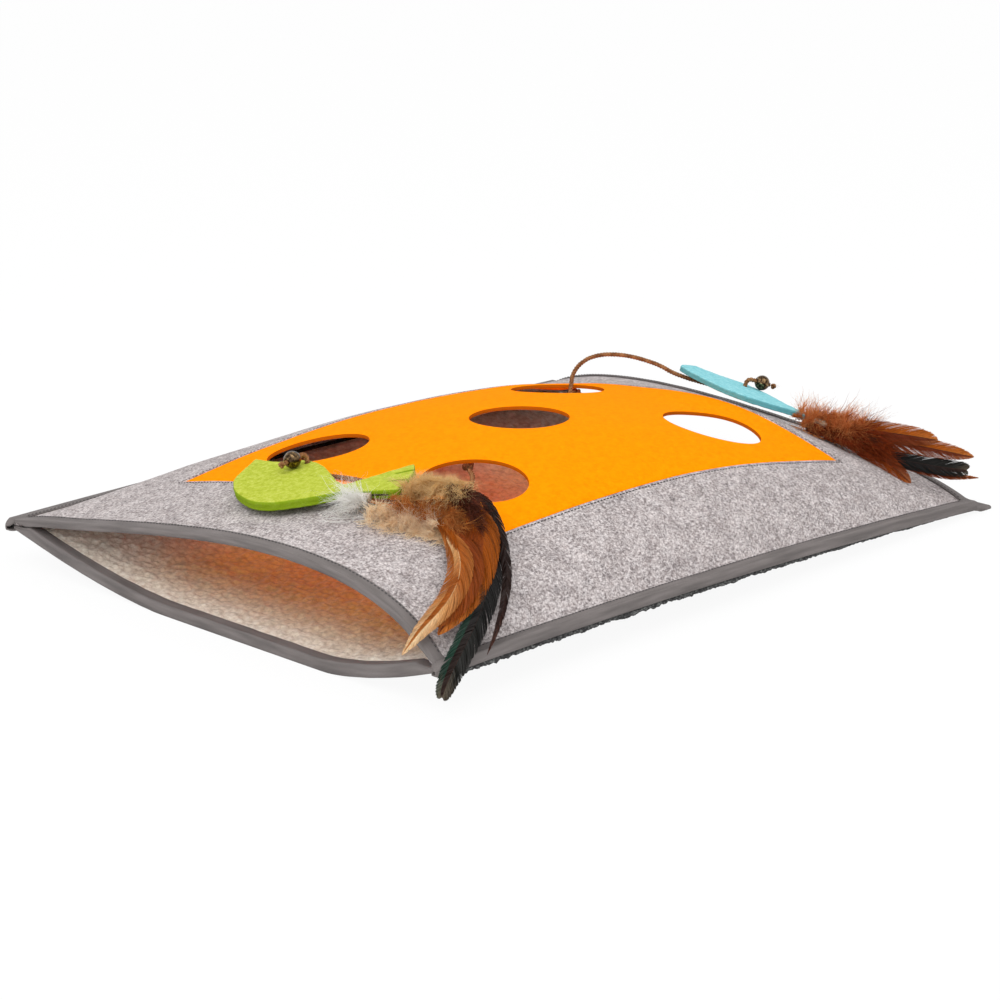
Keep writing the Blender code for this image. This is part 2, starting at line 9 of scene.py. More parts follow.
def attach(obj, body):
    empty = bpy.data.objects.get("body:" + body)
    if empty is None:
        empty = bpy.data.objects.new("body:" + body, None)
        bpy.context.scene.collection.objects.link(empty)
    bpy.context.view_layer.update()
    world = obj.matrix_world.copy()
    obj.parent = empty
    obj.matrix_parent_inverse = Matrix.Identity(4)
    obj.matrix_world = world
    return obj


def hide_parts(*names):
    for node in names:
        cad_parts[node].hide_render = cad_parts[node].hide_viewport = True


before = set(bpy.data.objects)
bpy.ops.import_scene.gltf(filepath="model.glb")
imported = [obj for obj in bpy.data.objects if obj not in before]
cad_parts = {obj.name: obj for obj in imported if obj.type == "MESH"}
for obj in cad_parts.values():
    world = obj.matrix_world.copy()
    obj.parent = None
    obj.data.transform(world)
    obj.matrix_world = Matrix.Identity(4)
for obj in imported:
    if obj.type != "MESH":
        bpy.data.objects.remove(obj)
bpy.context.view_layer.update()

print("frame loaded:", len(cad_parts), "nodes")


def addObject(name, data):
    thing = bpy.data.objects.new(name, data)
    bpy.context.scene.collection.objects.link(thing)
    return thing


# Camera at the photograph's angle
photoView = {"place": (-1.3353, -1.2611, 0.5696), "lens": 90, "shiftX": -0.0081, "shiftY": 0.0367}
cameraData = bpy.data.cameras.new("photo view")
cameraData.lens = photoView["lens"]
cameraData.shift_x = photoView["shiftX"]
cameraData.shift_y = photoView["shiftY"]
cameraData.clip_end = 60
camera = addObject("photo view", cameraData)
camera.location = photoView["place"]
camera.rotation_euler = (-Vector(photoView["place"])).to_track_quat("-Z", "Y").to_euler()
bpy.context.scene.camera = camera


# Shape of the shell, in metres: the CAD model's surfaces, with the felt's bulges added
shell = {
    "halfLength": 0.300, "halfWidth": 0.228, "archHalfWidth": 0.218,
    "riseMiddle": 0.0646, "riseFront": 0.0360, "riseRear": 0.0275, "fall": 1.85,
    "share": 0.97, "power": 0.593, "endPower": 0.102, "lean": -0.305, "leanFront": -0.703, "leanRear": 0.187,
    "seamFrontFar": 0.0325, "seamFrontNear": 0.0311, "seamRearNear": 0.0092, "seamRearFar": 0.0321,
    "bowNear": 0.0058, "bowFar": 0.0094, "farSag": 0.0068, "sagFrom": 0.125, "sagWidth": 0.085,
    "seamStack": 0.0053, "flatNear": 0.50, "flatFar": 0.20,
    "topFelt": 0.0030, "baseFelt": 0.0020, "fleece": 0.0040, "layerGap": 0.0003,
    "end": 0.2985, "side": 0.2265, "fleeceSide": 0.2145,
    "ripple": 0.0005, "rippleSize": 0.055, "rippleSide": 0.05, "rippleEnd": 0.04,
}
# Where the felt of the photo stands fuller or flatter than the arch: height, then middle and spread in x and in y
swells = [(0.0082, 0.202, 0.040, -0.050, 0.080), (-0.0050, 0.300, 0.040, -0.020, 0.100),
          (-0.0075, 0.215, 0.048, 0.150, 0.045)]
farSwell = {"height": 0.0026, "middle": 0.188, "spread": 0.026, "ends": -0.08, "over": 0.08}
swellEase = {"side": 0.2235, "sideOver": 0.018, "end": 0.312, "endOver": 0.05}
panel = {
    "front": -0.211, "rear": 0.205, "near": -0.1604, "far": 0.1316, "gap": 0.0008, "seam": 0.0018,
    "holeRadius": 0.038, "holeSides": 96, "holeAlong": 0.1315, "holeAcross": 0.0805,
    "middle": (-0.003, -0.0144), "step": 0.0030, "sink": 0.0011,
}


def clamp(value, low=0.0, high=1.0):
    return max(low, min(high, value))


def tint(red, green, blue):
    return tuple(((c / 255 + 0.055) / 1.055) ** 2.4 if c > 10 else c / 255 / 12.92 for c in (red, green, blue))


def grain(x, y, z):
    return noise.noise(Vector((x, y, z)))


def shares(x, y):
    return clamp(x / shell["halfLength"], -1, 1), clamp(y / shell["archHalfWidth"], -1, 1)


def seamHeight(x, y):
    along, across = shares(x, y)
    near = (1 - across) / 2
    rear = (1 + along) / 2
    front = (1 - near) * shell["seamFrontFar"] + near * shell["seamFrontNear"]
    back = (1 - near) * shell["seamRearFar"] + near * shell["seamRearNear"]
    bow = (near * shell["bowNear"] + (1 - near) * shell["bowFar"]) * (1 - along * along)
    sag = shell["farSag"] * clamp((y - shell["sagFrom"]) / shell["sagWidth"]) ** 1.5 * (1 - along * along)
    return (1 - rear) * front + rear * back + bow - sag


def archTop(x, y):
    along, across = shares(x, y)
    share = shell["share"]
    power = shell["power"] + shell["endPower"] * along * along
    cross = (1 - (share * across) ** 2) ** power - (1 - share ** 2) ** power * abs(across) ** 8
    end = "Front" if along < 0 else "Rear"
    rise = shell["riseMiddle"] - (shell["riseMiddle"] - shell["rise" + end]) * abs(along) ** shell["fall"]
    lean = shell["lean"] + (shell["lean" + end] - shell["lean"]) * along * along
    return seamHeight(x, y) + rise * cross * (1 + lean * across)


def bulge(x, y):
    ease = clamp((swellEase["side"] - abs(y)) / swellEase["sideOver"])
    ease *= clamp((swellEase["end"] - abs(x)) / swellEase["endOver"])
    height = farSwell["height"] * math.exp(-((y - farSwell["middle"]) / farSwell["spread"]) ** 2)
    height *= clamp((farSwell["ends"] - x) / farSwell["over"])
    for top, x0, wide, y0, deep in swells:
        height += top * math.exp(-((x - x0) / wide) ** 2 - ((y - y0) / deep) ** 2)
    return ease * height


def feltTop(x, y):
    wave = grain(x / shell["rippleSize"], y / shell["rippleSize"], 3.1)
    ease = clamp((shell["halfWidth"] - abs(y)) / shell["rippleSide"])
    ease *= clamp((shell["halfLength"] - abs(x)) / shell["rippleEnd"])
    return archTop(x, y) + bulge(x, y) + shell["ripple"] * wave * ease


def baseUnder(x, y):
    across = shares(x, y)[1]
    flat = shell["flatFar"] if across > 0 else shell["flatNear"]
    curl = max(0, (abs(across) - flat) / (1 - flat))
    return (seamHeight(x, y) - shell["seamStack"]) * curl ** 1.6


def slopes(shape, x, y, step=0.001):
    return ((shape(x + step, y) - shape(x - step, y)) / (2 * step),
            (shape(x, y + step) - shape(x, y - step)) / (2 * step))


def upFrom(shape, x, y):
    slopeX, slopeY = slopes(shape, x, y)
    return Vector((-slopeX, -slopeY, 1)).normalized()


def lifted(shape, x, y, distance):
    return Vector((x, y, shape(x, y))) + upFrom(shape, x, y) * distance


# Shader helper: sockets that can be added and multiplied; colours are given from 0 to 255

class Wire:
    def __init__(self, tree, socket=None):
        self.tree = tree
        self.socket = socket

    def node(self, kind, settings=None, sockets=None, out=0):
        made = self.tree.nodes.new(kind)
        for name, value in (settings or {}).items():
            setattr(made, name, value)
        for name, value in (sockets or {}).items():
            if isinstance(value, Wire):
                self.tree.links.new(value.socket, made.inputs[name])
            else:
                made.inputs[name].default_value = value
        return Wire(self.tree, made.outputs[out])

    def sibling(self, name):
        return Wire(self.tree, self.socket.node.outputs[name])

    def maths(self, operation, first, second):
        return self.node("ShaderNodeMath", {"operation": operation}, {0: first, 1: second})

    def __add__(self, other):
        return self.maths("ADD", self, other)

    def __sub__(self, other):
        return self.maths("SUBTRACT", self, other)

    def __rsub__(self, other):
        return self.maths("SUBTRACT", other, self)

    def __mul__(self, other):
        return self.maths("MULTIPLY", self, other)

    __radd__ = __add__
    __rmul__ = __mul__

    def coordinates(self, kind="Object"):
        return self.node("ShaderNodeTexCoord", out=kind)

    def part(self, vector, axis):
        return self.node("ShaderNodeSeparateXYZ", None, {"Vector": vector}, "XYZ".index(axis))

    def noise(self, place, size, detail=2.0, roughness=0.5, distortion=0.0):
        return self.node("ShaderNodeTexNoise", None, {
            "Vector": place, "Scale": 1 / size, "Detail": detail, "Roughness": roughness, "Distortion": distortion})

    def turned(self, place, degrees, scale):
        return self.node("ShaderNodeMapping", None, {
            "Vector": place, "Rotation": (0, 0, math.radians(degrees)), "Scale": scale})

    def fibres(self, place, turns, thin, sizes, roughness, distortion):
        # Two sets of fibres that cross each other
        scales = ((1, thin[0], 1), (thin[1], 1, 1))
        one, two = [self.noise(self.turned(place, turns[i], scales[i]), sizes[i], 3, roughness, distortion)
                    for i in (0, 1)]
        return one + two

    def ramp(self, value, *stops):
        made = self.node("ShaderNodeValToRGB", None, {"Fac": value})
        elements = made.socket.node.color_ramp.elements
        elements.remove(elements[1])
        for i, (place, *colour) in enumerate(stops):
            element = elements[0] if i == 0 else elements.new(place)
            element.position = place
            element.color = (*tint(*colour), 1)
        return made

    def blend(self, factor, first, second, kind="MIX"):
        full = [c if isinstance(c, Wire) else (*tint(*c), 1) for c in (first, second)]
        return self.node("ShaderNodeMix", {"data_type": "RGBA", "blend_type": kind, "clamp_factor": True},
                         {0: factor, 6: full[0], 7: full[1]}, 2)

    def mapped(self, value, low, high, start, stop, kind="LINEAR"):
        return self.node("ShaderNodeMapRange", {"interpolation_type": kind}, {
            "Value": value, "From Min": low, "From Max": high, "To Min": start, "To Max": stop})

    def step(self, value, low, high, to=1.0):
        return self.mapped(value, low, high, 0.0, to, "SMOOTHSTEP")

    def bump(self, height, strength, distance):
        return self.node("ShaderNodeBump", None, {"Height": height, "Strength": strength, "Distance": distance})

    def mixed(self, share, first, second):
        both = self.node("ShaderNodeMixShader", None, {0: share, 2: second})
        self.tree.links.new(first, both.socket.node.inputs[1])
        return both

    def toSurface(self):
        output = [node for node in self.tree.nodes if "ShaderNodeOutput" in node.bl_idname][0]
        self.tree.links.new(self.socket, output.inputs["Surface"])


def startMaterial(name, roughness, shine, **fixed):
    material = bpy.data.materials.new(name)
    material.use_nodes = True
    shader = material.node_tree.nodes["Principled BSDF"]
    for socket, value in {"Roughness": roughness, "Specular_IOR_Level": shine, **fixed}.items():
        shader.inputs[socket.replace("_", " ")].default_value = value
    return material, Wire(material.node_tree), shader


def feed(shader, **links):
    for socket, value in links.items():
        value.tree.links.new(value.socket, shader.inputs[socket.replace("_", " ")])


def glowThrough(wire, shader, share, colour):
    # Light that comes through from the other side
    glow = wire.node("ShaderNodeBsdfTranslucent", None, {"Color": colour})
    wire.mixed(share, shader.outputs[0], glow).toSurface()


def marlFelt():
    material, wire, shader = startMaterial("grey marl felt", 0.95, 0.15)
    place = wire.coordinates()
    fibres = wire.fibres(place, (33, -48), (0.45, 0.50), (0.0010, 0.0011), 0.65, 0.5)
    fleck = wire.noise(place, 0.0023, 3, 0.65, 0.3)
    cloud = wire.noise(place, 0.014, 2, 0.5)
    tone = fibres * 0.60 + fleck * 0.70 + cloud * 0.22 - 0.56
    colour = wire.ramp(tone, (0.34, 92, 88, 90), (0.45, 146, 140, 141), (0.53, 182, 176, 176), (0.68, 228, 222, 222))
    colour = wire.blend(wire.noise(place, 0.006, 2) * 0.35, colour, (196, 178, 172))
    feed(shader, Base_Color=colour, Normal=wire.bump(fibres * 0.5 + fleck, 0.55, 0.0007))
    glowThrough(wire, shader, 0.08, (*tint(214, 206, 204), 1))
    return material


def orangeFelt():
    material, wire, shader = startMaterial("orange felt", 0.95, 0.03)
    place = wire.coordinates()
    fibres = wire.fibres(place, (20, -60), (0.3, 0.3), (0.0012, 0.0012), 0.6, 0.7)
    fleck = wire.noise(place, 0.005, 3, 0.6)
    colour = wire.ramp(fibres * 0.5 + fleck * 0.5 - 0.25, (0.30, 250, 142, 0), (0.50, 255, 160, 0), (0.72, 255, 172, 4))
    upward = wire.part(wire.coordinates("Normal"), "Z")
    face = wire.step(upward * upward, 0.12, 0.50)  # painted shade: the cut rims, which turn away from up, get a darker orange; they let no light through
    feed(shader, Base_Color=wire.blend(face, (190, 94, 10), colour), Normal=wire.bump(fibres + fleck, 0.35, 0.0006))
    glowThrough(wire, shader, face * 0.24, (1.75, 0.56, 0.01, 1))  # stronger than it reflects: thin, bright felt
    return material


def sherpa():
    material, wire, shader = startMaterial("cream sherpa", 1.0, 0.1, Sheen_Weight=0.35, Sheen_Roughness=0.5)
    place = wire.coordinates()
    curl = wire.node("ShaderNodeTexVoronoi", {"feature": "F1"}, {"Vector": place, "Scale": 1 / 0.0042})
    strand = wire.noise(place, 0.0012, 3, 0.65, 0.6)
    tone = strand * 0.6 + (1 - curl) * 0.45 + wire.noise(place, 0.012, 2) * 0.25 - 0.20
    colour = wire.ramp(tone, (0.25, 206, 192, 174), (0.50, 240, 230, 214), (0.75, 252, 246, 236))
    along, across = wire.part(place, "X"), wire.part(place, "Y")
    warm = wire.step(along, -0.296, -0.205) * wire.step(along, 0.290, 0.200)  # light off the orange felt above
    warm = warm * wire.step(across, -0.210, -0.140) * wire.step(across, 0.165, 0.080)
    warm = warm * (1 - wire.step(along, -0.08, 0.05, 0.3))
    colour = wire.blend(warm, colour, wire.blend(1.0, colour, (250, 206, 122), "MULTIPLY"))
    feed(shader, Base_Color=colour, Normal=wire.bump(strand + (1 - curl), 0.4, 0.0012))
    return material


def bindingTape():
    material, wire, shader = startMaterial("grey binding tape", 0.68, 0.2)
    place = wire.coordinates("UV")
    weft = wire.noise(wire.turned(place, 0, (0.11, 1, 1)), 0.0045, 2, 0.5)
    rib = wire.node("ShaderNodeTexWave", {"bands_direction": "X"}, {
        "Vector": wire.turned(place, 0, (1, 0.03, 1)), "Scale": 900.0, "Distortion": 0.6})
    colour = wire.ramp(weft * 0.8 + rib * 0.22, (0.30, 92, 87, 86), (0.52, 110, 104, 102), (0.75, 126, 119, 118))
    feed(shader, Base_Color=colour, Normal=wire.bump(rib + weft, 0.25, 0.0003))
    return material


def woolFelt(name, low, middle, high, edge):
    material, wire, shader = startMaterial(name, 0.95, 0.06)
    place = wire.coordinates()
    fibres = wire.fibres(place, (12, -70), (0.5, 0.5), (0.0012, 0.0012), 0.65, 0.6)
    lump = wire.noise(place, 0.0040, 3, 0.55)
    colour = wire.ramp(fibres * 0.40 + lump * 0.45 - 0.125, (0.28, *low), (0.50, *middle), (0.72, *high))
    upward = wire.part(wire.node("ShaderNodeNewGeometry", out="Normal"), "Z")
    # Painted shade: surfaces that turn away from up, the fish's sides, are blended towards the darker edge colour
    colour = wire.blend(wire.mapped(upward, 0.45, 0.75, 1.0, 0.0) * 0.8, colour, edge)
    feed(shader, Base_Color=colour, Normal=wire.bump(fibres + lump, 0.6, 0.0009))
    return material


def juteTwine():
    material, wire, shader = startMaterial("jute twine", 0.9, 0.2)
    place = wire.coordinates()
    strand = wire.noise(place, 0.0009, 3, 0.7, 0.5)
    tone = strand * 0.8 + wire.noise(place, 0.006, 2) * 0.5 - 0.15
    colour = wire.ramp(tone, (0.28, 66, 40, 24), (0.50, 132, 88, 54), (0.74, 190, 146, 102))
    feed(shader, Base_Color=colour, Normal=wire.bump(strand, 0.7, 0.0005))
    return material


def agedBronze():
    material, wire, shader = startMaterial("aged bronze", 0.5, 0.5, Metallic=1.0)
    patina = wire.noise(wire.coordinates(), 0.0022, 4, 0.62, 0.3)
    colour = wire.ramp(patina, (0.38, 40, 30, 22), (0.52, 96, 76, 54), (0.68, 168, 140, 100))
    feed(shader, Base_Color=colour, Roughness=wire.mapped(patina, 0.35, 0.7, 0.30, 0.14),
         Normal=wire.bump(patina, 0.25, 0.0003))
    return material


def flecked(name, roughness, shine, speck, bump, *stops):
    material, wire, shader = startMaterial(name, roughness, shine)
    fleck = wire.noise(wire.coordinates(), *speck)
    feed(shader, Base_Color=wire.ramp(fleck, *stops), Normal=wire.bump(fleck, *bump))
    return material


def plumage(name, edge, edgeShare, gloss, streak, through, *stops):
    # Colour runs from the root to the tip of the feather, with its own tone in each barb
    material, wire, shader = startMaterial(name, gloss, 0.18)
    place = wire.coordinates("UV")
    along, out = wire.part(place, "X"), wire.part(place, "Y")
    barb = wire.noise(wire.turned(place, 0, (1, 0.02, 1)), 0.010, 3, 0.8)
    colour = wire.ramp(along + wire.noise(place, 0.16, 2, 0.5) * 0.16 - 0.08, *stops)
    colour = wire.blend(out * out * edgeShare, colour, edge)
    dark = wire.mapped(barb, 0.35, 0.65, 1 - streak, 1.0)
    shade = wire.node("ShaderNodeCombineColor", None, {0: dark, 1: dark, 2: dark})
    shaded = wire.blend(1.0, colour, shade, "MULTIPLY")
    feed(shader, Base_Color=shaded)
    if through:
        glowThrough(wire, shader, through, shaded)
    return material


looks = {
    "greyFelt": marlFelt(), "orangeFelt": orangeFelt(), "fleece": sherpa(),
    "tape": bindingTape(), "jute": juteTwine(), "bronze": agedBronze(),
    # The last colour of each wool felt is the painted shade of the fish's sides
    "greenFelt": woolFelt("green wool felt", (142, 154, 38), (176, 187, 64), (204, 210, 108), (112, 144, 10)),
    "blueFelt": woolFelt("blue wool felt", (100, 176, 186), (138, 204, 212), (176, 226, 230), (80, 152, 162)),
    "charcoal": flecked("charcoal felt", 0.97, 0.2, (0.0020, 3, 0.65, 0.5), (0.7, 0.0010),
                        (0.35, 38, 38, 39), (0.52, 66, 66, 66), (0.68, 118, 120, 118)),
    "stitch": flecked("dark stitch thread", 0.7, 0.3, (0.0007,), (0.4, 0.0002), (0.35, 44, 42, 43), (0.65, 84, 80, 81)),
    "wrapThread": flecked("pale wrap thread", 0.7, 0.3, (0.0007,), (0.4, 0.0002),
                          (0.35, 150, 132, 108), (0.65, 212, 198, 176)),
    "quill": flecked("pale quill", 0.7, 0.3, (0.0007,), (0.4, 0.0002), (0.35, 170, 124, 76), (0.65, 206, 166, 120)),
    "coque": plumage("dark coque", (20, 16, 14), 0.4, 0.40, 0.4, 0.0, (0.0, 40, 20, 12), (0.35, 16, 11, 10),
                     (0.60, 14, 14, 12), (0.90, 26, 26, 22), (1.0, 88, 78, 64)),
    # Painted sheen: the green in this ramp stands for the coque's iridescent reflection, put into its colour
    "greenCoque": plumage("green coque", (22, 34, 28), 0.4, 0.32, 0.45, 0.0, (0.0, 40, 20, 12), (0.35, 16, 11, 10),
                          (0.58, 18, 30, 24), (0.76, 28, 66, 50), (0.90, 36, 62, 50), (1.0, 104, 94, 78)),
    "brownCoque": plumage("brown coque", (26, 14, 10), 0.3, 0.35, 0.4, 0.0, (0.0, 44, 20, 12), (0.45, 30, 16, 12),
                          (0.8, 44, 22, 15), (1.0, 74, 38, 24)),
    "rustHackle": plumage("rust hackle", (206, 120, 40), 0.35, 0.5, 0.5, 0.2, (0.0, 130, 60, 18), (0.35, 176, 88, 16),
                          (0.7, 190, 98, 20), (1.0, 206, 124, 52)),
    "paleHackle": plumage("pale hackle", (216, 144, 76), 0.45, 0.5, 0.45, 0.2, (0.0, 196, 124, 60), (0.25, 180, 94, 24),
                          (0.52, 192, 106, 36), (0.70, 232, 174, 110), (0.88, 252, 222, 176)),
    "redHackle": plumage("red hackle", (180, 92, 28), 0.4, 0.5, 0.5, 0.2, (0.0, 112, 48, 14), (0.4, 150, 66, 12),
                         (0.8, 164, 78, 18), (1.0, 190, 110, 50)),
    "deepHackle": plumage("deep rust hackle", (150, 76, 32), 0.5, 0.5, 0.5, 0.15, (0.0, 112, 50, 18),
                          (0.35, 112, 42, 12), (0.75, 124, 52, 18), (1.0, 190, 118, 74)),
    "tanDown": plumage("tan down", (254, 232, 186), 0.6, 0.9, 0.28, 0.42,
                       (0.0, 226, 180, 116), (0.5, 244, 208, 142), (1.0, 206, 156, 92)),
    "creamDown": plumage("cream down", (255, 248, 232), 0.5, 0.9, 0.15, 0.6,
                         (0.0, 248, 222, 184), (0.5, 254, 238, 208), (1.0, 230, 190, 144)),
    "amberDown": plumage("amber down", (236, 176, 112), 0.5, 0.8, 0.35, 0.5,
                         (0.0, 196, 132, 74), (0.5, 214, 136, 66), (1.0, 196, 104, 36)),
    "whiteDown": plumage("white down", (254, 254, 252), 0.5, 0.9, 0.12, 0.5,
                         (0.0, 232, 230, 226), (1.0, 250, 249, 246)),
    "rustDown": plumage("rust down", (246, 186, 128), 0.5, 0.8, 0.25, 0.6,
                        (0.0, 244, 172, 108), (0.45, 236, 150, 84), (1.0, 178, 84, 30)),
    "deepDown": plumage("deep rust down", (176, 84, 34), 0.5, 0.7, 0.5, 0.35,
                        (0.0, 156, 66, 20), (0.5, 140, 50, 12), (1.0, 132, 46, 12)),
    "brownDown": plumage("brown down", (132, 66, 32), 0.4, 0.7, 0.5, 0.0, (0.0, 62, 24, 12), (1.0, 96, 42, 20)),
}
print("materials ready:", len(looks))


# Mesh helpers

def putPiece(name, mesh, body, slot, look, replaces=()):
    data = bpy.data.meshes.new(name)
    mesh.to_mesh(data)
    mesh.free()
    thing = addObject(name, data)
    data.shade_smooth()
    for one in [look] if isinstance(look, str) else look:
        data.materials.append(looks[one])
    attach(thing, body)
    if replaces:
        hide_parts(replaces)
    return thing


def spread(low, high, count):
    return [low + (high - low) * i / count for i in range(count + 1)]


def marksBetween(low, high, step):
    return spread(low, high, round((high - low) / step))


def newCells(bm, columns, rows, material):
    # A flat grid with UVs, and the column and row of each corner
    bm.loops.layers.uv.verify()
    made = bmesh.ops.create_grid(bm, x_segments=columns, y_segments=rows, size=0.5, calc_uvs=True)
    cells = {vert: (round((vert.co.x + 0.5) * columns), round((vert.co.y + 0.5) * rows)) for vert in made["verts"]}
    faces = {face for vert in cells for face in vert.link_faces}
    for face in faces:
        face.material_index = material
    return cells, faces


def newGrid(bm, columns, rows, place, material=0):
    # A grid whose corner i, j goes to place(i, j)
    cells, faces = newCells(bm, columns, rows, material)
    for vert, (i, j) in cells.items():
        vert.co = place(i, j)
    return list(cells)


def newStrips(bm, count, steps, place, material=0, across=1):
    # Separate narrow strips: place(strip, edge, step) puts the corners of each, edge from 0 to across
    width = across + 1
    cells, faces = newCells(bm, width * count - 1, steps, material)
    between = [face for face in faces if min(cells[vert][0] for vert in face.verts) % width == across]
    for vert, (i, step) in cells.items():
        vert.co = place(i // width, i % width, step)
    bmesh.ops.delete(bm, geom=between, context="FACES")


def smoothRoute(points, step=None, spans=None):
    points = [Vector(p) for p in points]
    padded = [points[0] * 2 - points[1]] + points + [points[-1] * 2 - points[-2]]
    fine = []
    for i in range(len(points) - 1):
        a, b, c, d = padded[i:i + 4]
        for k in range(24):
            t = k / 24
            fine.append(((-a + 3 * b - 3 * c + d) * t ** 3 + (2 * a - 5 * b + 4 * c - d) * t * t
                         + (c - a) * t + 2 * b) / 2)
    fine.append(points[-1].copy())
    lengths = [0]
    for i in range(1, len(fine)):
        lengths.append(lengths[-1] + (fine[i] - fine[i - 1]).length)
    spans = spans or max(2, round(lengths[-1] / step))
    route = []
    j = 0
    for i in range(spans + 1):
        target = lengths[-1] * i / spans
        while j < len(fine) - 2 and lengths[j + 1] < target:
            j += 1
        route.append(fine[j].lerp(fine[j + 1], clamp((target - lengths[j]) / (lengths[j + 1] - lengths[j]))))
    return route


def squareTo(way, ahead):
    return (way - ahead * way.dot(ahead)).normalized()


def carriedFrames(route):
    # Tangent, side and up at each point, without twisting between them
    frames = []
    side = None
    for i, point in enumerate(route):
        ahead = (route[min(i + 1, len(route) - 1)] - route[max(i - 1, 0)]).normalized()
        if side is None:
            side = ahead.orthogonal()
        side = squareTo(side, ahead)
        frames.append((point, ahead, side, ahead.cross(side)))
    return frames


def around(side, up, angle):
    return side * math.cos(angle) + up * math.sin(angle)


def newTube(bm, route, sides, radius, material=0):
    # radius(i, angle) in metres; the seam of the grid is welded and the ends are capped
    frames = carriedFrames(route)

    def place(i, j):
        point, ahead, side, up = frames[i]
        angle = 2 * math.pi * (j % sides) / sides
        return point + around(side, up, angle) * radius(i, angle)

    verts = newGrid(bm, len(route) - 1, sides, place, material)
    bmesh.ops.remove_doubles(bm, verts=verts, dist=1e-7)
    rims = {edge for vert in verts if vert.is_valid for edge in vert.link_edges if edge.is_boundary}
    for face in bmesh.ops.holes_fill(bm, edges=list(rims), sides=0)["faces"]:
        face.material_index = material


def facesOut(bm):
    bmesh.ops.recalc_face_normals(bm, faces=bm.faces)


def facesUp(bm):
    if sum(face.normal.z for face in bm.faces) < 0:
        bmesh.ops.reverse_faces(bm, faces=bm.faces)


# Cords first: two twines, each from its knot under the panel to its fish
twines = {
    "green": {
        "length": 0.181, "diameter": 0.0034, "body": "green_cord",
        "points": [(-0.1076, -0.06401, 0.08774), (-0.11199, -0.07114, 0.08466), (-0.1209, -0.07752, 0.08037),
                   (-0.1329, -0.08299, 0.07788), (-0.1449, -0.08573, 0.07922), (-0.156, -0.08436, 0.08628),
                   (-0.1668, -0.0798, 0.09386), (-0.17601, -0.07401, 0.09304), (-0.18201, -0.06601, 0.09251),
                   (-0.186, -0.05399, 0.09205), (-0.18801, -0.03999, 0.09153), (-0.189, -0.02599, 0.09077),
                   (-0.18999, -0.01199, 0.0897), (-0.192, 0.00228, 0.08817), (-0.19338, 0.01039, 0.08766)]},
    "blue": {
        "length": 0.1855, "diameter": 0.0034, "body": "blue_cord",
        "points": [(0.16526, 0.08056, 0.06739), (0.1599, 0.0782, 0.06445), (0.1557, 0.07684, 0.06783),
                   (0.1557, 0.07684, 0.07395), (0.1581, 0.07752, 0.08055), (0.1605, 0.07798, 0.08717),
                   (0.1644, 0.07499, 0.09474), (0.17049, 0.06949, 0.10044), (0.1785, 0.0624, 0.10311),
                   (0.18651, 0.0552, 0.10321), (0.195, 0.04749, 0.10168), (0.20391, 0.0396, 0.0985),
                   (0.21381, 0.03069, 0.0935), (0.22221, 0.0231, 0.08721), (0.231, 0.014, 0.08227),
                   (0.24, 0.00351, 0.07833), (0.24999, -0.01051, 0.07395), (0.25823, -0.02219, 0.06967)]},
}
twineLay = {"step": 0.00045, "sides": 24, "plies": 3, "pitch": 0.0072, "radius": 0.00162, "lobe": 0.17,
            "hairs": 170, "hairLength": 0.0034, "hairWidth": 0.00010}


def newTwine(bm, points, seed):
    route = smoothRoute(points, twineLay["step"])

    def radius(i, angle):
        turn = 2 * math.pi * i * twineLay["step"] / twineLay["pitch"]
        lobe = math.cos(twineLay["plies"] * (angle - turn))
        rough = grain(i * 0.11, math.cos(angle) * 1.5, math.sin(angle) * 1.5 + seed)
        return twineLay["radius"] * (1 + twineLay["lobe"] * lobe + 0.10 * rough)

    newTube(bm, route, twineLay["sides"], radius)
    return route


def newHairs(bm, frames, settings, seed):
    # Fine loose fibres that stand off a route
    rng = random.Random(seed)
    starts = []
    for i in range(settings["hairs"]):
        point, ahead, side, up = rng.choice(frames)
        out = around(side, up, rng.uniform(0, 2 * math.pi))
        lean = (out + ahead * rng.uniform(-1.4, 1.4)).normalized()
        starts.append((point + out * settings["radius"] * 0.8, lean, ahead.cross(lean).normalized(),
                       settings["hairLength"] * rng.uniform(0.4, 1.1), rng.uniform(-0.5, 0.5)))

    def place(i, edge, step):
        root, lean, across, length, curl = starts[i]
        q = step / 3
        bend = across * curl * length * q * q
        return root + lean * length * q + bend + across * settings["hairWidth"] * (edge - 0.5) * (1.2 - q)

    newStrips(bm, settings["hairs"], 3, place)


for colour, twine in twines.items():
    bm = bmesh.new()
    route = newTwine(bm, twine["points"], 1.0 if colour == "green" else 5.0)
    facesOut(bm)
    cord = putPiece(colour + "_jute_twine", bm, twine["body"], "jute_twine", "jute", colour + "_twine")
    bm = bmesh.new()
    newHairs(bm, carriedFrames(route)[4:-4], twineLay, 11)
    fuzz = putPiece(colour + "_twine_fuzz", bm, twine["body"], "jute_twine", "jute")
    tuple(route[0])
    [tuple(p) for p in route]
print("twines laid")


# Felt shell: stations close to the seams, so that the stitching can press the felt down

def stations(low, high, step, near=()):
    values = marksBetween(low, high, step)
    for mark in near:
        for gap in (-0.0034, -0.0021, -0.0012, -0.0004, 0.0004, 0.0012, 0.0021, 0.0034):
            values.append(mark + gap)
    for edge, way in ((low, 1), (high, -1)):
        values += [edge + way * 0.0007, edge + way * 0.0016]
    kept = []
    for value in sorted(values):
        if low <= value <= high and (not kept or value - kept[-1] > 0.00035):
            kept.append(value)
    kept[-1] = high
    return kept


def stationGrid(bm, alongMarks, acrossMarks):
    return newGrid(bm, len(alongMarks) - 1, len(acrossMarks) - 1,
                   lambda i, j: Vector((alongMarks[i], acrossMarks[j], 0)))


def seamDistance(x, y):
    outX = max(panel["front"] - x, x - panel["rear"])
    outY = max(panel["near"] - y, y - panel["far"])
    if outX > 0 and outY > 0:
        return math.hypot(outX, outY)
    return max(outX, outY)


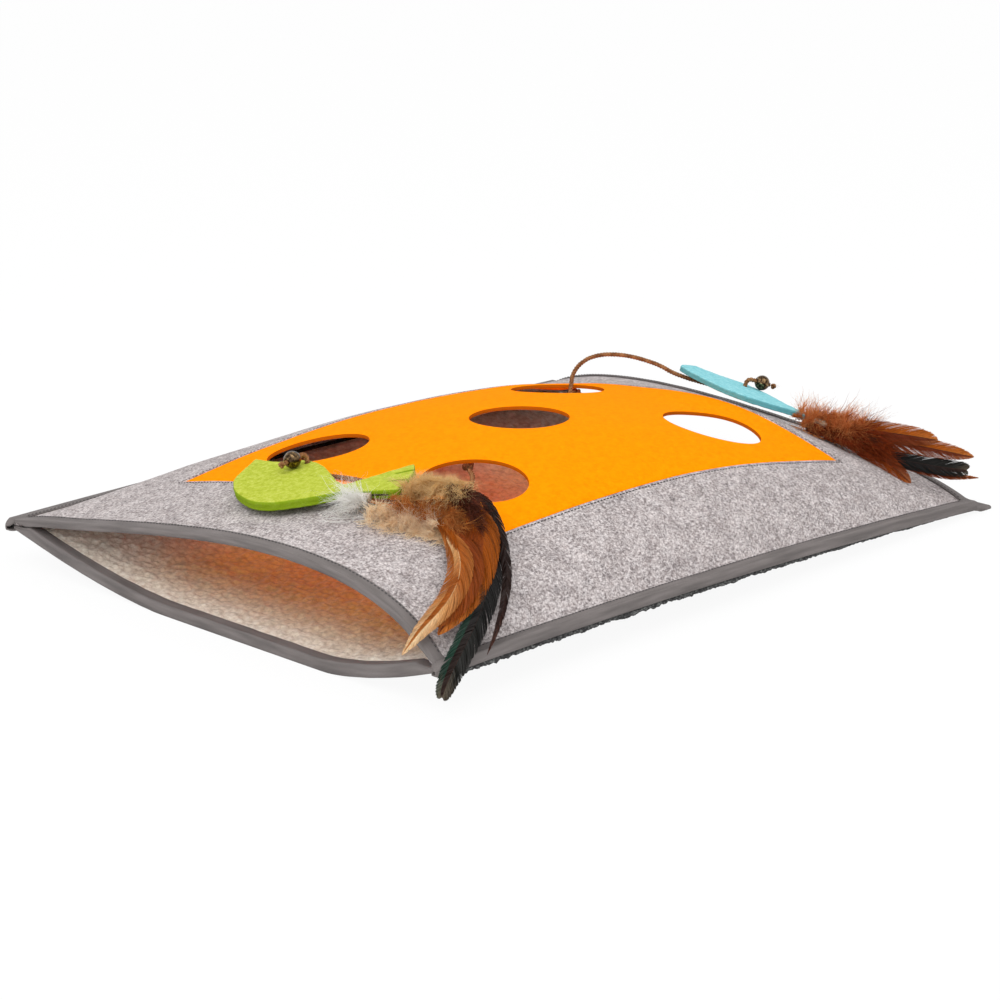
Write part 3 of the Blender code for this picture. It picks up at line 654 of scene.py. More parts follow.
def thicken(thing, thickness, offset, edge=0.0009):
    solid = thing.modifiers.new("Thickness", "SOLIDIFY")
    solid.thickness = thickness
    solid.offset = offset
    bevel = thing.modifiers.new("Cut edge", "BEVEL")
    bevel.width = edge
    bevel.segments = 3
    bevel.limit_method = "ANGLE"
    bevel.angle_limit = math.radians(55)
    bevel.harden_normals = False


def layCloth(bm, place):
    for vert in bm.verts:
        vert.co = place(*vert.co.xy)
    facesOut(bm)
    facesUp(bm)


felt = {"along": 0.006, "across": 0.005, "furrow": 0.0007, "furrowWidth": 0.0011, "roll": 0.0026}


def makeTopFelt():
    bm = bmesh.new()
    end, side, seam = shell["end"], shell["side"], panel["seam"]
    stationGrid(bm, stations(-end, end, felt["along"], (panel["front"] - seam, panel["rear"] + seam)),
                stations(-side, side, felt["across"], (panel["near"] - seam, panel["far"] + seam)))
    for centre, way in (((panel["front"], 0, 0), (1, 0, 0)), ((panel["rear"], 0, 0), (1, 0, 0)),
                        ((0, panel["near"], 0), (0, 1, 0)), ((0, panel["far"], 0), (0, 1, 0))):
        bmesh.ops.bisect_plane(bm, geom=bm.verts[:] + bm.edges[:] + bm.faces[:], dist=1e-5,
                               plane_co=centre, plane_no=way)
    window = [face for face in bm.faces if seamDistance(*face.calc_center_median().xy) < 0]
    bmesh.ops.delete(bm, geom=window, context="FACES")
    bmesh.ops.dissolve_degenerate(bm, edges=bm.edges, dist=1e-5)

    def place(x, y):
        furrow = felt["furrow"] * math.exp(-((seamDistance(x, y) - seam) / felt["furrowWidth"]) ** 2)
        return lifted(feltTop, x, y, -furrow)

    layCloth(bm, place)
    thing = putPiece("grey_felt_top", bm, "tunnel", "grey_felt", "greyFelt", "top_grey_felt")
    thicken(thing, shell["topFelt"], -1)


def holeCentres():
    x, y = panel["middle"]
    return [(x, y)] + [(x + i * panel["holeAlong"], y + j * panel["holeAcross"]) for i in (-1, 1) for j in (-1, 1)]


def punchHole(bm, x, y, radius):
    margin = radius + panel["step"] * 0.62
    inside = [vert for vert in bm.verts if math.hypot(vert.co.x - x, vert.co.y - y) < margin]
    ring = {edge for vert in inside for face in vert.link_faces for edge in face.edges}
    bmesh.ops.delete(bm, geom=inside, context="VERTS")
    loop = [edge for edge in ring if edge.is_valid and edge.is_boundary]
    made = bmesh.ops.create_circle(bm, cap_ends=False, radius=radius, segments=panel["holeSides"],
                                   matrix=Matrix.Translation((x, y, 0)))
    rim = list({edge for vert in made["verts"] for edge in vert.link_edges})
    bmesh.ops.triangle_fill(bm, use_beauty=True, edges=loop + rim, normal=(0, 0, 1))


def makePanel():
    bm = bmesh.new()
    gap = panel["gap"]
    low = (panel["front"] + gap, panel["near"] + gap)
    high = (panel["rear"] - gap, panel["far"] - gap)
    stationGrid(bm, stations(low[0], high[0], panel["step"]), stations(low[1], high[1], panel["step"]))
    for x, y in holeCentres():
        punchHole(bm, x, y, panel["holeRadius"])
    layCloth(bm, lambda x, y: lifted(
        feltTop, x, y, -panel["sink"] * math.exp(-(seamDistance(x, y) / felt["roll"]) ** 2)))
    thing = putPiece("orange_panel", bm, "tunnel", "orange_felt", "orangeFelt", "orange_felt_panel")
    thicken(thing, shell["topFelt"], -1, 0.0007)


def makeBase():
    bm = bmesh.new()
    stationGrid(bm, stations(-shell["end"], shell["end"], felt["along"]),
                stations(-shell["side"], shell["side"], felt["across"]))
    for vert in bm.verts:
        vert.co = Vector((vert.co.x, vert.co.y, baseUnder(vert.co.x, vert.co.y)))
    facesUp(bm)
    thing = putPiece("base_felt_sheet", bm, "tunnel", "charcoal_felt", "charcoal", "base_felt")
    thicken(thing, shell["baseFelt"], 1, 0.0005)


def fleeceCover(y):
    return clamp((shell["fleeceSide"] - abs(y)) / 0.011)


fleecePile = {"step": 0.00185, "inset": 0.0004, "curl": 0.0050, "height": 0.0019, "lump": 0.013, "lumpHeight": 0.0010,
              "swirl": 0.003, "edge": 0.004, "underTape": 0.0075, "rise": 0.003, "least": 0.0003, "skirt": 0.0002}


def makeFleece():
    # Unseeded, noise_vector starts from the clock and differs in each run
    noise.seed_set(1)
    bm = bmesh.new()
    side = shell["fleeceSide"]
    end = shell["end"] - fleecePile["inset"]
    rows = stations(-end, end, fleecePile["step"])
    columns = stations(-side, side, fleecePile["step"])
    stationGrid(bm, rows, columns)
    low = shell["baseFelt"] + shell["layerGap"]
    for vert in bm.verts:
        x, y = vert.co.xy
        place = Vector((x, y, 0)) / fleecePile["curl"]
        place += noise.noise_vector(Vector((x, y, 1.7)) / fleecePile["swirl"]) * 0.35
        near = noise.voronoi(place)[0][0]
        curl = (0.62 - min(near, 1.0)) * fleecePile["height"] * 1.5
        lump = noise.noise(Vector((x, y, 5)) / fleecePile["lump"]) * fleecePile["lumpHeight"]
        edge = clamp(min(side - abs(y), shell["end"] - abs(x)) / fleecePile["edge"])
        # The lip tape presses the pile flat
        clear = clamp((shell["end"] - fleecePile["underTape"] - abs(x)) / fleecePile["rise"])
        pile = shell["fleece"] * (0.55 + 0.45 * edge) * fleeceCover(y) + (curl + lump) * edge * clear
        room = feltTop(x, y) - shell["topFelt"] * 1.3 - baseUnder(x, y) - low
        vert.co = lifted(baseUnder, x, y, low + max(fleecePile["least"], min(pile, room)))
    rim = [edge for edge in bm.edges if edge.is_boundary]
    skirt = bmesh.ops.extrude_edge_only(bm, edges=rim)
    for vert in skirt["geom"]:
        if isinstance(vert, bmesh.types.BMVert):
            vert.co = lifted(baseUnder, vert.co.x, vert.co.y, low + fleecePile["skirt"])
    facesOut(bm)
    facesUp(bm)
    thing = putPiece("sherpa_floor", bm, "tunnel", "cream_fleece", "fleece", "fleece_floor")


makeTopFelt()
makePanel()
makeBase()
makeFleece()
print("felt sheets sewn up")


# Binding tape: folded round each edge, with a row of stitches at its inner side
tape = {"width": 0.0096, "fold": 0.0015, "thickness": 0.0010, "arc": 8, "step": 0.0040,
        "lift": 0.0015, "lipSide": 0.2200, "wobble": 0.0004, "plainTo": 0.004, "uvWidth": 0.026,
        "pinchFrom": 0.2205, "pinchOver": 0.014, "under": 0.0009, "underFull": 0.0006}
sideCut = {"width": 0.0083, "middle": 0.0042, "half": 0.00415, "droop": 0.35, "round": 0.0045, "close": 0.004,
           "stub": 0.0040, "rearStub": 0.0235, "narrow": 0.30, "rearNarrow": 0.12}
stitching = {"pitch": 0.0034, "length": 0.0025, "width": 0.00095, "height": 0.00070, "inset": 0.0082,
             "lift": 0.0016, "sink": 0.0005, "lipTo": 0.214, "sideTo": 0.286, "spots": 110}


def tapeProfile():
    # Inward distance and level: 1 above the edge, 0 below it
    width, fold = tape["width"], tape["fold"]
    top = [(width, 1.0), (width * 0.90, 1.0), (width * 0.62, 1.0), (width * 0.36, 1.0), (fold * 1.15, 1.0)]
    arc = []
    for i in range(tape["arc"] + 1):
        angle = math.pi * i / tape["arc"]
        arc.append((fold * (1 - math.sin(angle)), 0.5 + 0.5 * math.cos(angle)))
    return top + arc + [(inward, 0.0) for inward, level in reversed(top)]


profile = tapeProfile()


def pinch(y):
    # The layers are pressed together towards the side seams: 1 is full, 0 pressed
    return clamp((tape["pinchFrom"] - abs(y)) / tape["pinchOver"])


def upperLevels(y):
    return tape["lift"], -(shell["topFelt"] * pinch(y) + tape["under"] + tape["underFull"] * pinch(y))


def lowerLevels(y):
    stack = shell["baseFelt"] + (shell["layerGap"] + shell["fleece"]) * fleeceCover(y)
    return stack * (0.35 + 0.65 * pinch(y)) + tape["lift"], -tape["lift"]


def lipTapePoint(shape, side, y, inward, height):
    x = side * min(shell["end"], shell["end"] - (inward - tape["fold"]))
    point = lifted(shape, x, y, height)
    if inward < tape["fold"]:
        point += Vector((1, 0, slopes(shape, x, y)[0])).normalized() * side * (tape["fold"] - inward)
    return point


def makeTape(name, node, marks, place, outward):
    bm = bmesh.new()
    newGrid(bm, len(marks) - 1, len(profile) - 1, lambda i, j: place(marks[i], *profile[j]))
    uvLayer = bm.loops.layers.uv.active
    length = abs(marks[-1] - marks[0])
    for face in bm.faces:
        for loop in face.loops:
            u, v = loop[uvLayer].uv
            loop[uvLayer].uv = (u * length, v * tape["uvWidth"])
    facesOut(bm)
    middle = [face for face in bm.faces if abs(face.normal.dot(outward)) > 0.6]
    if sum(face.normal.dot(outward) * face.calc_area() for face in middle) < 0:
        bmesh.ops.reverse_faces(bm, faces=bm.faces)
    thicken(putPiece(name, bm, "tunnel", "grey_tape", "tape", node), tape["thickness"], -1, 0.00035)


def newStitches(bm, spots):
    # spots: centre, direction along the row, direction up from the cloth
    def place(i, edge, step):
        centre, ahead, up = spots[i]
        share = step / 4 * 2 - 1
        narrow = math.sqrt(max(0, 1 - abs(share) ** 3))
        angle = math.pi * edge / 4
        return (centre + ahead * share * stitching["length"] / 2
                + ahead.cross(up) * math.cos(angle) * narrow * stitching["width"] / 2
                + up * (math.sin(angle) * narrow - 0.25) * stitching["height"])

    newStrips(bm, len(spots), 4, place, across=4)


def stitchSpots(points, ups):
    spots = []
    carried = 0.0
    for i in range(len(points) - 1):
        step = (points[i + 1] - points[i]).length
        while carried <= step:
            share = carried / step
            ahead = (points[i + 1] - points[i]).normalized()
            spots.append((points[i].lerp(points[i + 1], share), ahead,
                          squareTo(ups[i].lerp(ups[i + 1], share), ahead)))
            carried += stitching["pitch"]
        carried -= step
    return spots


def wobbled(inward, value, seed):
    # The inner edge of a tape isn't quite straight
    share = 1 + tape["wobble"] / tape["width"] * grain(value / 0.02, seed, 0)
    return inward * share if inward > tape["plainTo"] else inward


def lipTape(name, node, shape, levels, side, seed):
    def place(y, inward, level):
        high, low = levels(y)
        inward = wobbled(inward, y, seed)
        flutter = 0.00018 * grain(y / 0.012, inward * 300, seed)
        return lipTapePoint(shape, side, y, inward, low + (high - low) * level + flutter)

    marks = marksBetween(-tape["lipSide"], tape["lipSide"], tape["step"])
    makeTape(name, node, marks, place, Vector((side, 0, 0)))


def sideTape(name, node, side, seed):
    # Past the mat's ends the tape is a stub with a rounded tip, which never sinks below the floor
    end, cut = shell["end"], sideCut

    def place(x, inward, level):
        past = max(abs(x) - end, 0)
        tip, narrow = (cut["rearStub"], cut["rearNarrow"]) if x > 0 else (cut["stub"], cut["narrow"])
        high = seamHeight(x, side * shell["halfWidth"]) + tape["lift"]
        low = high - cut["width"]
        middle = high - cut["middle"] - cut["droop"] * past
        reach = 1.0
        left = (tip + tape["lift"] - past) / cut["round"]
        if past > 0 and left < 1:
            reach = math.sqrt(max(0.02, 1 - (1 - left) ** 2))
        half = cut["half"] * (1 - narrow * clamp(past / cut["close"])) * (0.5 + 0.5 * reach)
        z = max(middle + (level * 2 - 1) * half, 0.0) if past > 0 else low + (high - low) * level
        inward = wobbled(inward, x, seed)
        y = shell["halfWidth"] - cut["middle"] + (cut["middle"] - inward) * (reach if past > 0 else 1)
        return Vector((x, side * y, z))

    marks = [-shell["halfLength"] - cut["stub"] + 0.0008 * i for i in range(6)]
    marks += marksBetween(-end, end, tape["step"]) + [0.2990 + 0.00082 * i for i in range(31)]
    makeTape(name, node, sorted(marks), place, Vector((0, side, 0)))


for level, shape, levels, seed in (("upper", feltTop, upperLevels, 1.0), ("lower", baseUnder, lowerLevels, 3.0)):
    for end, side in (("front", -1), ("rear", 1)):
        lipTape("%s_%s_tape" % (end, level), "%s_mouth_%s_binding" % (end, level), shape, levels, side,
                seed + (side > 0))
sideTape("near_side_tape", "near_side_binding", -1, 5.0)
sideTape("far_side_tape", "far_side_binding", 1, 6.0)


def sewFelt(bm, line, height):
    newStitches(bm, stitchSpots([lifted(feltTop, x, y, height) for x, y in line],
                                [upFrom(feltTop, x, y) for x, y in line]))


def makeStitching():
    bm = bmesh.new()
    inset, lift = stitching["inset"], stitching["lift"]
    for side in (-1, 1):
        x = side * (shell["end"] + tape["lift"] - inset)
        sewFelt(bm, [(x, y) for y in marksBetween(-stitching["lipTo"], stitching["lipTo"], 0.004)], lift)
        y = side * (shell["halfWidth"] - inset)
        line = [Vector((x, y, seamHeight(x, y * 2) + lift))
                for x in marksBetween(-stitching["sideTo"], stitching["sideTo"], 0.004)]
        newStitches(bm, stitchSpots(line, [Vector((0, 0, 1))] * len(line)))
    putPiece("tape_stitches", bm, "tunnel", "grey_tape", "stitch")
    bm = bmesh.new()
    west, east = panel["front"] - panel["seam"], panel["rear"] + panel["seam"]
    south, north = panel["near"] - panel["seam"], panel["far"] + panel["seam"]
    corners = [(west, south), (east, south), (east, north), (west, north), (west, south)]
    for start, stop in zip(corners, corners[1:]):
        line = zip(*[spread(a, b, stitching["spots"]) for a, b in zip(start, stop)])
        sewFelt(bm, list(line), -stitching["sink"])
    putPiece("panel_stitches", bm, "tunnel", "grey_tape", "stitch")


makeStitching()


# A ragged dark strip, in the charcoal felt's colour, runs below each side tape
darkStrip = {"front": -0.292, "rear": 0.290, "inset": 0.0035, "drop": 0.0068, "step": 0.0009, "sides": 12,
           "radius": 0.0024, "raggedness": (0.45, 0.30), "lumpiness": 0.35}


def makeDarkStrip(name, side):
    bm = bmesh.new()
    xs = marksBetween(darkStrip["front"], darkStrip["rear"], darkStrip["step"])
    coarse, fine = darkStrip["raggedness"]
    route = []
    size = []
    for x in xs:
        height = seamHeight(x, side * shell["halfWidth"]) - darkStrip["drop"]
        swell = clamp(height / 0.020, 0.2, 1.0) * 0.9
        ragged = 1 + coarse * grain(x / 0.022, side, 2) + fine * grain(x / 0.004, side, 7)
        size.append(darkStrip["radius"] * swell * ragged)
        route.append(Vector((x, side * (shell["halfWidth"] - darkStrip["inset"]), height - size[-1] * 0.75)))

    def radius(i, angle):
        lumpiness = grain(xs[i] / 0.0016, math.cos(angle) * 1.2, math.sin(angle) * 1.2)
        return size[i] * (1 + darkStrip["lumpiness"] * lumpiness)

    newTube(bm, route, darkStrip["sides"], radius)
    facesOut(bm)
    putPiece(name, bm, "tunnel", "charcoal_felt", "charcoal")


makeDarkStrip("near_dark_strip", -1)
makeDarkStrip("far_dark_strip", 1)
print("tapes and stitches done")


# Fish toys: the same outline for both, as shares of length and depth; True is a sharp corner
fishCut = {
    "length": 0.157, "depth": 0.085, "hole": 0.0024, "holeSides": 24, "voxel": 0.00075, "noseFrom": -0.25,
    "outline": [
        (-0.401, 0.188, False), (-0.369, 0.518, True), (-0.293, 0.462, False), (-0.210, 0.441, False),
        (-0.127, 0.468, False), (-0.051, 0.459, False), (0.038, 0.365, False), (0.102, 0.259, False),
        (0.178, 0.106, False), (0.242, -0.012, False), (0.299, -0.082, True),
        (0.400, 0.141, False), (0.510, 0.388, True), (0.545, 0.275, True), (0.430, 0.090, True),
        (0.556, 0.235, True), (0.578, 0.060, True), (0.450, -0.030, True), (0.583, 0.010, True),
        (0.599, -0.188, True), (0.357, -0.259, True),
        (0.325, -0.235, True), (0.166, -0.400, False), (0.006, -0.482, False), (-0.172, -0.318, False),
        (-0.318, -0.071, False), (-0.382, 0.071, False)],
}
toys = {
    "green": {
        "thickness": 0.007, "hole": (-0.057, 0.420), "bead": (-0.077, 0.268), "nose": 0.60,
        "look": "greenFelt", "slot": "green_felt",
        "place": Matrix(((0.275005, 0.949265, -0.15254, -0.22569), (-0.952777, 0.290328, 0.089026, -0.00798),
                         (0.128796, 0.120854, 0.984279, 0.090209), (0, 0, 0, 1))),
        "knot": (-0.10548, -0.06057, 0.08923)},
    "blue": {
        "thickness": 0.005, "hole": (-0.051, 0.266), "bead": (0.021, 0.353), "nose": 1.0,
        "look": "blueFelt", "slot": "blue_felt",
        "place": Matrix(((0.353095, 0.893545, 0.27731, 0.24219), (-0.900991, 0.404615, -0.156529, -0.039307),
                         (-0.252069, -0.194585, 0.947944, 0.076599), (0, 0, 0, 1))),
        "knot": (0.16878, 0.0821, 0.06932)},
}


def onFish(share):
    return Vector((share[0] * fishCut["length"], share[1] * fishCut["depth"], 0))


def finishedMesh(thing):
    bpy.context.view_layer.update()
    data = bpy.data.meshes.new_from_object(thing.evaluated_get(bpy.context.evaluated_depsgraph_get()))
    bpy.data.objects.remove(thing)
    return data


def makeFish(colour, toy):
    curve = bpy.data.curves.new("fish outline", "CURVE")
    curve.dimensions = "2D"
    curve.fill_mode = "BOTH"
    curve.resolution_u = 10
    curve.extrude = toy["thickness"] / 2
    spline = curve.splines.new("BEZIER")
    spline.bezier_points.add(len(fishCut["outline"]) - 1)
    spline.use_cyclic_u = True
    for point, (along, across, sharp) in zip(spline.bezier_points, fishCut["outline"]):
        if along < fishCut["noseFrom"] and across < 0.5:
            along = fishCut["noseFrom"] + (along - fishCut["noseFrom"]) * toy["nose"]
        point.co = onFish((along, across))
        point.handle_left_type = point.handle_right_type = "VECTOR" if sharp else "AUTO"
    ring = curve.splines.new("POLY")
    ring.points.add(fishCut["holeSides"] - 1)
    ring.use_cyclic_u = True
    centre = onFish(toy["hole"])
    for i, point in enumerate(ring.points):
        angle = 2 * math.pi * i / fishCut["holeSides"]
        point.co = (centre.x + fishCut["hole"] * math.cos(angle), centre.y + fishCut["hole"] * math.sin(angle), 0, 1)
    flat = finishedMesh(addObject("fish outline", curve))
    bm = bmesh.new()
    bm.from_mesh(flat)
    bmesh.ops.remove_doubles(bm, verts=bm.verts, dist=1e-6)
    facesOut(bm)
    bm.to_mesh(flat)
    bm.free()
    work = addObject("fish work", flat)
    remesh = work.modifiers.new("Even", "REMESH")
    remesh.mode = "VOXEL"
    remesh.voxel_size = fishCut["voxel"]
    bm = bmesh.new()
    bm.from_mesh(finishedMesh(work))
    for i in range(3):
        bmesh.ops.smooth_vert(bm, verts=bm.verts, factor=0.5, use_axis_x=True, use_axis_y=True, use_axis_z=True)
    bm.normal_update()
    for vert in bm.verts:
        wool = noise.noise(vert.co / 0.0045) * 0.00022 + noise.noise(vert.co / 0.0016) * 0.00012
        flank = 1 - abs(vert.normal.z)
        layer = math.sin(vert.co.z / toy["thickness"] * 9) * 0.00018 * flank
        vert.co = vert.co + vert.normal * (wool + layer)
    bm.transform(toy["place"])
    putPiece(colour + "_fish", bm, colour + "_fish", toy["slot"], toy["look"], colour + "_felt_fish")


def newKnot(bm, centre, radius, seed, turn=Matrix.Identity(3)):
    # A trefoil pulled tight
    knot = {"points": 72, "spread": 3.9}
    points = []
    for i in range(knot["points"] + 1):
        t = 2 * math.pi * i / knot["points"]
        point = Vector((math.sin(t) + 2 * math.sin(2 * t), math.cos(t) - 2 * math.cos(2 * t), -2.0 * math.sin(3 * t)))
        points.append(turn @ (point * (radius / knot["spread"])) + centre)

    def size(i, angle):
        return radius * 0.36 * (1 + 0.14 * math.cos(3 * angle + i * 0.9 + seed))

    newTube(bm, points, 12, size)


beadCut = {"radius": 0.00625, "bore": 0.00215, "rim": 0.0003, "arc": 18, "steps": 40, "gap": 0.0003,
           "loopEnd": 0.00705, "loopBend": 0.004, "knot": 0.0023, "knotAhead": 0.0031, "panelKnot": 0.0040}


def beadParts(toy):
    hole = onFish(toy["hole"])
    way = onFish(toy["bead"]) - hole
    return hole, way, Vector((0, 0, toy["thickness"] / 2 + beadCut["radius"] + beadCut["gap"]))


def makeBead(colour, toy):
    hole, way, height = beadParts(toy)
    bm = bmesh.new()
    start = math.asin((beadCut["bore"] + beadCut["rim"]) / beadCut["radius"])
    points = []
    for i in range(beadCut["arc"] + 1):
        angle = start + (math.pi - 2 * start) * i / beadCut["arc"]
        points.append(Vector((beadCut["radius"] * math.sin(angle), 0, beadCut["radius"] * math.cos(angle))))
    end = points[-1].z + beadCut["rim"]
    points += [Vector((beadCut["bore"], 0, end + 0.0001)), Vector((beadCut["bore"], 0, -end - 0.0001))]
    verts = [bm.verts.new(p) for p in points]
    edges = [bm.edges.new((verts[i], verts[(i + 1) % len(verts)])) for i in range(len(verts))]
    bmesh.ops.spin(bm, geom=verts + edges, cent=(0, 0, 0), axis=(0, 0, 1), angle=2 * math.pi,
                   steps=beadCut["steps"], use_merge=True, use_duplicate=False)
    bmesh.ops.remove_doubles(bm, verts=bm.verts, dist=1e-6)
    facesOut(bm)
    spin = way.normalized().to_track_quat("Z", "Y").to_matrix().to_4x4()
    bm.transform(toy["place"] @ Matrix.Translation(hole + height + way) @ spin)
    putPiece(colour + "_bronze_bead", bm, colour + "_bead", "bronze_bead", "bronze", colour + "_bead")


def makeLoop(colour, toy):
    hole, way, height = beadParts(toy)
    unit = way.normalized()
    up = Vector((0, 0, 1))
    bend = beadCut["loopBend"]
    corner = hole + height - up * bend
    route = [hole - up * (toy["thickness"] / 2 + beadCut["gap"]), hole, corner]
    for i in range(1, 6):
        angle = math.pi / 2 * i / 5
        route.append(corner + up * bend * math.sin(angle) + unit * bend * (1 - math.cos(angle)))
    route += [hole + height + way, hole + height + way + unit * beadCut["loopEnd"]]
    bm = bmesh.new()
    newTwine(bm, [toy["place"] @ p for p in route], 9.0)
    facesOut(bm)
    putPiece(colour + "_twine_end", bm, colour + "_cord", "jute_twine", "jute", colour + "_bead_loop")
    bm = bmesh.new()
    ahead = toy["place"].to_3x3() @ unit
    past = beadCut["loopEnd"] + beadCut["gap"] + beadCut["knotAhead"]
    centre = toy["place"] @ (hole + height + way + unit * past)
    newKnot(bm, centre, beadCut["knot"], 1.0, ahead.to_track_quat("Z", "Y").to_matrix())
    frames = carriedFrames([centre, centre + ahead * 0.003])
    tuft = dict(twineLay, hairs=24, hairLength=0.0045, radius=0.0012)
    newHairs(bm, frames, tuft, 5)
    putPiece(colour + "_bead_knot", bm, colour + "_cord", "jute_twine", "jute", colour + "_end_knot")
    bm = bmesh.new()
    newKnot(bm, Vector(toy["knot"]), beadCut["panelKnot"], 4.0)
    putPiece(colour + "_panel_knot", bm, "tunnel", "jute_twine", "jute", colour + "_anchor_knot")


def makeWrap(colour, toy):
    wrap = {"radius": 0.0032, "thread": 0.00042, "length": 0.011, "pitch": 0.00080, "turnSteps": 16, "along": 0.008,
            "gap": 0.0003}
    neck = onFish((0.357, -0.259))
    along = (onFish((0.599, -0.188)) - neck).normalized()
    aside = Vector((along.y, -along.x, 0))
    start = toy["place"] @ (neck + along * wrap["along"] + aside * (wrap["radius"] + wrap["gap"]))
    way = toy["place"].to_3x3() @ along
    out = toy["place"].to_3x3() @ aside
    third = way.cross(out)
    turns = wrap["length"] / wrap["pitch"]
    route = []
    for i in range(int(turns * wrap["turnSteps"]) + 1):
        angle = 2 * math.pi * i / wrap["turnSteps"]
        reach = wrap["radius"] - wrap["thread"]
        route.append(start + way * wrap["pitch"] * i / wrap["turnSteps"]
                     + around(out, third, angle) * reach)
    bm = bmesh.new()
    newTube(bm, route, 6, lambda i, angle: wrap["thread"])
    core = [start + way * wrap["length"] * i / 6 for i in range(7)]
    newTube(bm, core, 14, lambda i, angle: wrap["radius"] - wrap["thread"] * 1.4)
    facesOut(bm)
    putPiece(colour + "_thread_wrap", bm, colour + "_feathers", "pale_down", "wrapThread", colour + "_feather_wrap")


for colour, toy in toys.items():
    makeFish(colour, toy)
    makeBead(colour, toy)
    makeLoop(colour, toy)
    makeWrap(colour, toy)
print("fish, beads and knots done")


# Feathers: a quill with separate barbs on both sides. Points are in tenths of a millimetre
facings = {"green": Vector((-0.45, -0.65, 0.60)).normalized(), "blue": Vector((-0.80, -0.30, 0.50)).normalized()}
featherKeys = "name node slot look quill other width barbs start lean blunt seed route".split()
feathers = [
    ("green_coque_feather", "green_long_dark_coque", "dark_feather", "coque", "brownCoque", "greenCoque",
     0.0082, 420, 0.16, 2.2, 0.85, 1, [
         (-2244, -859, 954), (-2152, -1053, 960), (-2046, -1270, 960), (-1942, -1467, 943), (-1942, -1633, 880),
         (-2025, -1794, 774), (-2198, -1932, 674), (-2404, -2075, 586), (-2615, -2198, 499), (-2784, -2275, 420),
         (-2955, -2336, 321), (-3059, -2360, 223), (-3109, -2374, 162)]),
    ("green_brown_coque", "green_short_dark_coque", "dark_feather", "brownCoque", "brownCoque", "brownCoque",
     0.0038, 300, 0.16, 3.0, 0.5, 2, [
         (-2250, -866, 985), (-2109, -1039, 997), (-1956, -1266, 1037), (-1854, -1474, 1009), (-1879, -1637, 930),
         (-1971, -1806, 813), (-2142, -2013, 651), (-2367, -2190, 522), (-2560, -2304, 416), (-2687, -2355, 328)]),
    ("green_rust_hackle", "green_long_orange_hackle", "orange_feather", "rustHackle", "redHackle", "redHackle",
     0.0112, 420, 0.12, 3.0, 0.5, 3, [
         (-2262, -878, 962), (-2180, -1083, 958), (-2081, -1305, 961), (-2006, -1492, 941), (-2019, -1634, 898),
         (-2104, -1761, 820), (-2252, -1876, 708), (-2446, -1992, 631), (-2632, -2083, 590), (-2787, -2129, 533),
         (-2913, -2146, 469)]),
    ("green_red_hackle", None, "orange_feather", "redHackle", "redHackle", "rustHackle",
     0.0108, 420, 0.14, 3.0, 0.5, 4, [
         (-2278, -895, 962), (-2209, -1093, 952), (-2119, -1267, 927), (-2145, -1498, 876), (-2245, -1724, 803),
         (-2376, -1888, 713), (-2574, -2027, 650), (-2740, -2101, 587), (-2907, -2124, 515)]),
    ("green_pale_hackle", "green_short_orange_hackle", "orange_feather", "paleHackle", "quill", "paleHackle",
     0.0086, 420, 0.22, 2.8, 0.45, 5, [
         (-2294, -912, 962), (-2256, -1093, 942), (-2175, -1247, 921), (-2155, -1424, 877), (-2254, -1641, 821),
         (-2370, -1810, 762), (-2528, -1947, 694), (-2730, -2065, 643), (-2880, -2098, 582), (-3021, -2097, 505),
         (-3158, -2073, 382)]),
    ("blue_upper_hackle", "blue_upper_rust_hackle", "rust_feather", "rustHackle", "brownCoque", "deepHackle",
     0.0088, 300, 0.04, 2.2, 0.55, 6, [
         (2491, -1188, 635), (2564, -1409, 628), (2620, -1621, 622), (2679, -1846, 620), (2731, -2055, 615)]),
    ("blue_long_hackle", "blue_long_rust_hackle", "rust_feather", "rustHackle", "brownCoque", "deepHackle",
     0.008, 340, 0.04, 2.4, 0.62, 7, [
         (2502, -1200, 618), (2582, -1495, 590), (2648, -1804, 561), (2713, -2090, 544), (2766, -2370, 530)]),
    ("blue_coque_feather", "blue_dark_coque", "dark_feather", "coque", "brownCoque", "coque",
     0.0068, 340, 0.1, 2.2, 0.85, 8, [
         (2499, -1205, 578), (2551, -1522, 495), (2593, -1802, 441), (2659, -2088, 425), (2719, -2343, 429)]),
    ("blue_thin_hackle", None, "rust_feather", "redHackle", "brownCoque", "deepHackle",
     0.0044, 260, 0.08, 3.0, 0.5, 9, [
         (2504, -1202, 560), (2552, -1523, 470), (2601, -1846, 407), (2662, -2173, 367), (2731, -2448, 383)]),
    ("blue_lower_hackle", "blue_lower_rust_hackle", "rust_feather", "deepHackle", "brownCoque", "redHackle",
     0.0066, 260, 0.04, 2.6, 0.5, 10, [
         (2472, -1206, 559), (2510, -1435, 495), (2530, -1646, 432), (2536, -1818, 365), (2528, -1960, 288)]),
]
barbCut = {"steps": 6, "quillRoot": 0.00055, "quillTip": 0.00012, "spans": 60, "camber": 0.16, "end": 0.998,
           "splits": 5, "gap": 0.007, "swell": 0.18, "past": 1.06, "spread": 0.985}


def inMetres(points):
    return [Vector([c / 10000 for c in point]) for point in points]


def vaneHalf(feather, t):
    # Half width of the vane where a barb starts, as a share along the quill
    share = clamp((t - feather["start"]) / (1 - feather["start"]))
    swell = min(1, share / barbCut["swell"]) ** 0.5
    if feather["blunt"] > 0.7:
        return feather["width"] * swell * math.sqrt(max(0, 1 - share ** 9))
    return feather["width"] * swell * max(0, 1 - share ** (1 + 4 * feather["blunt"])) ** 0.8


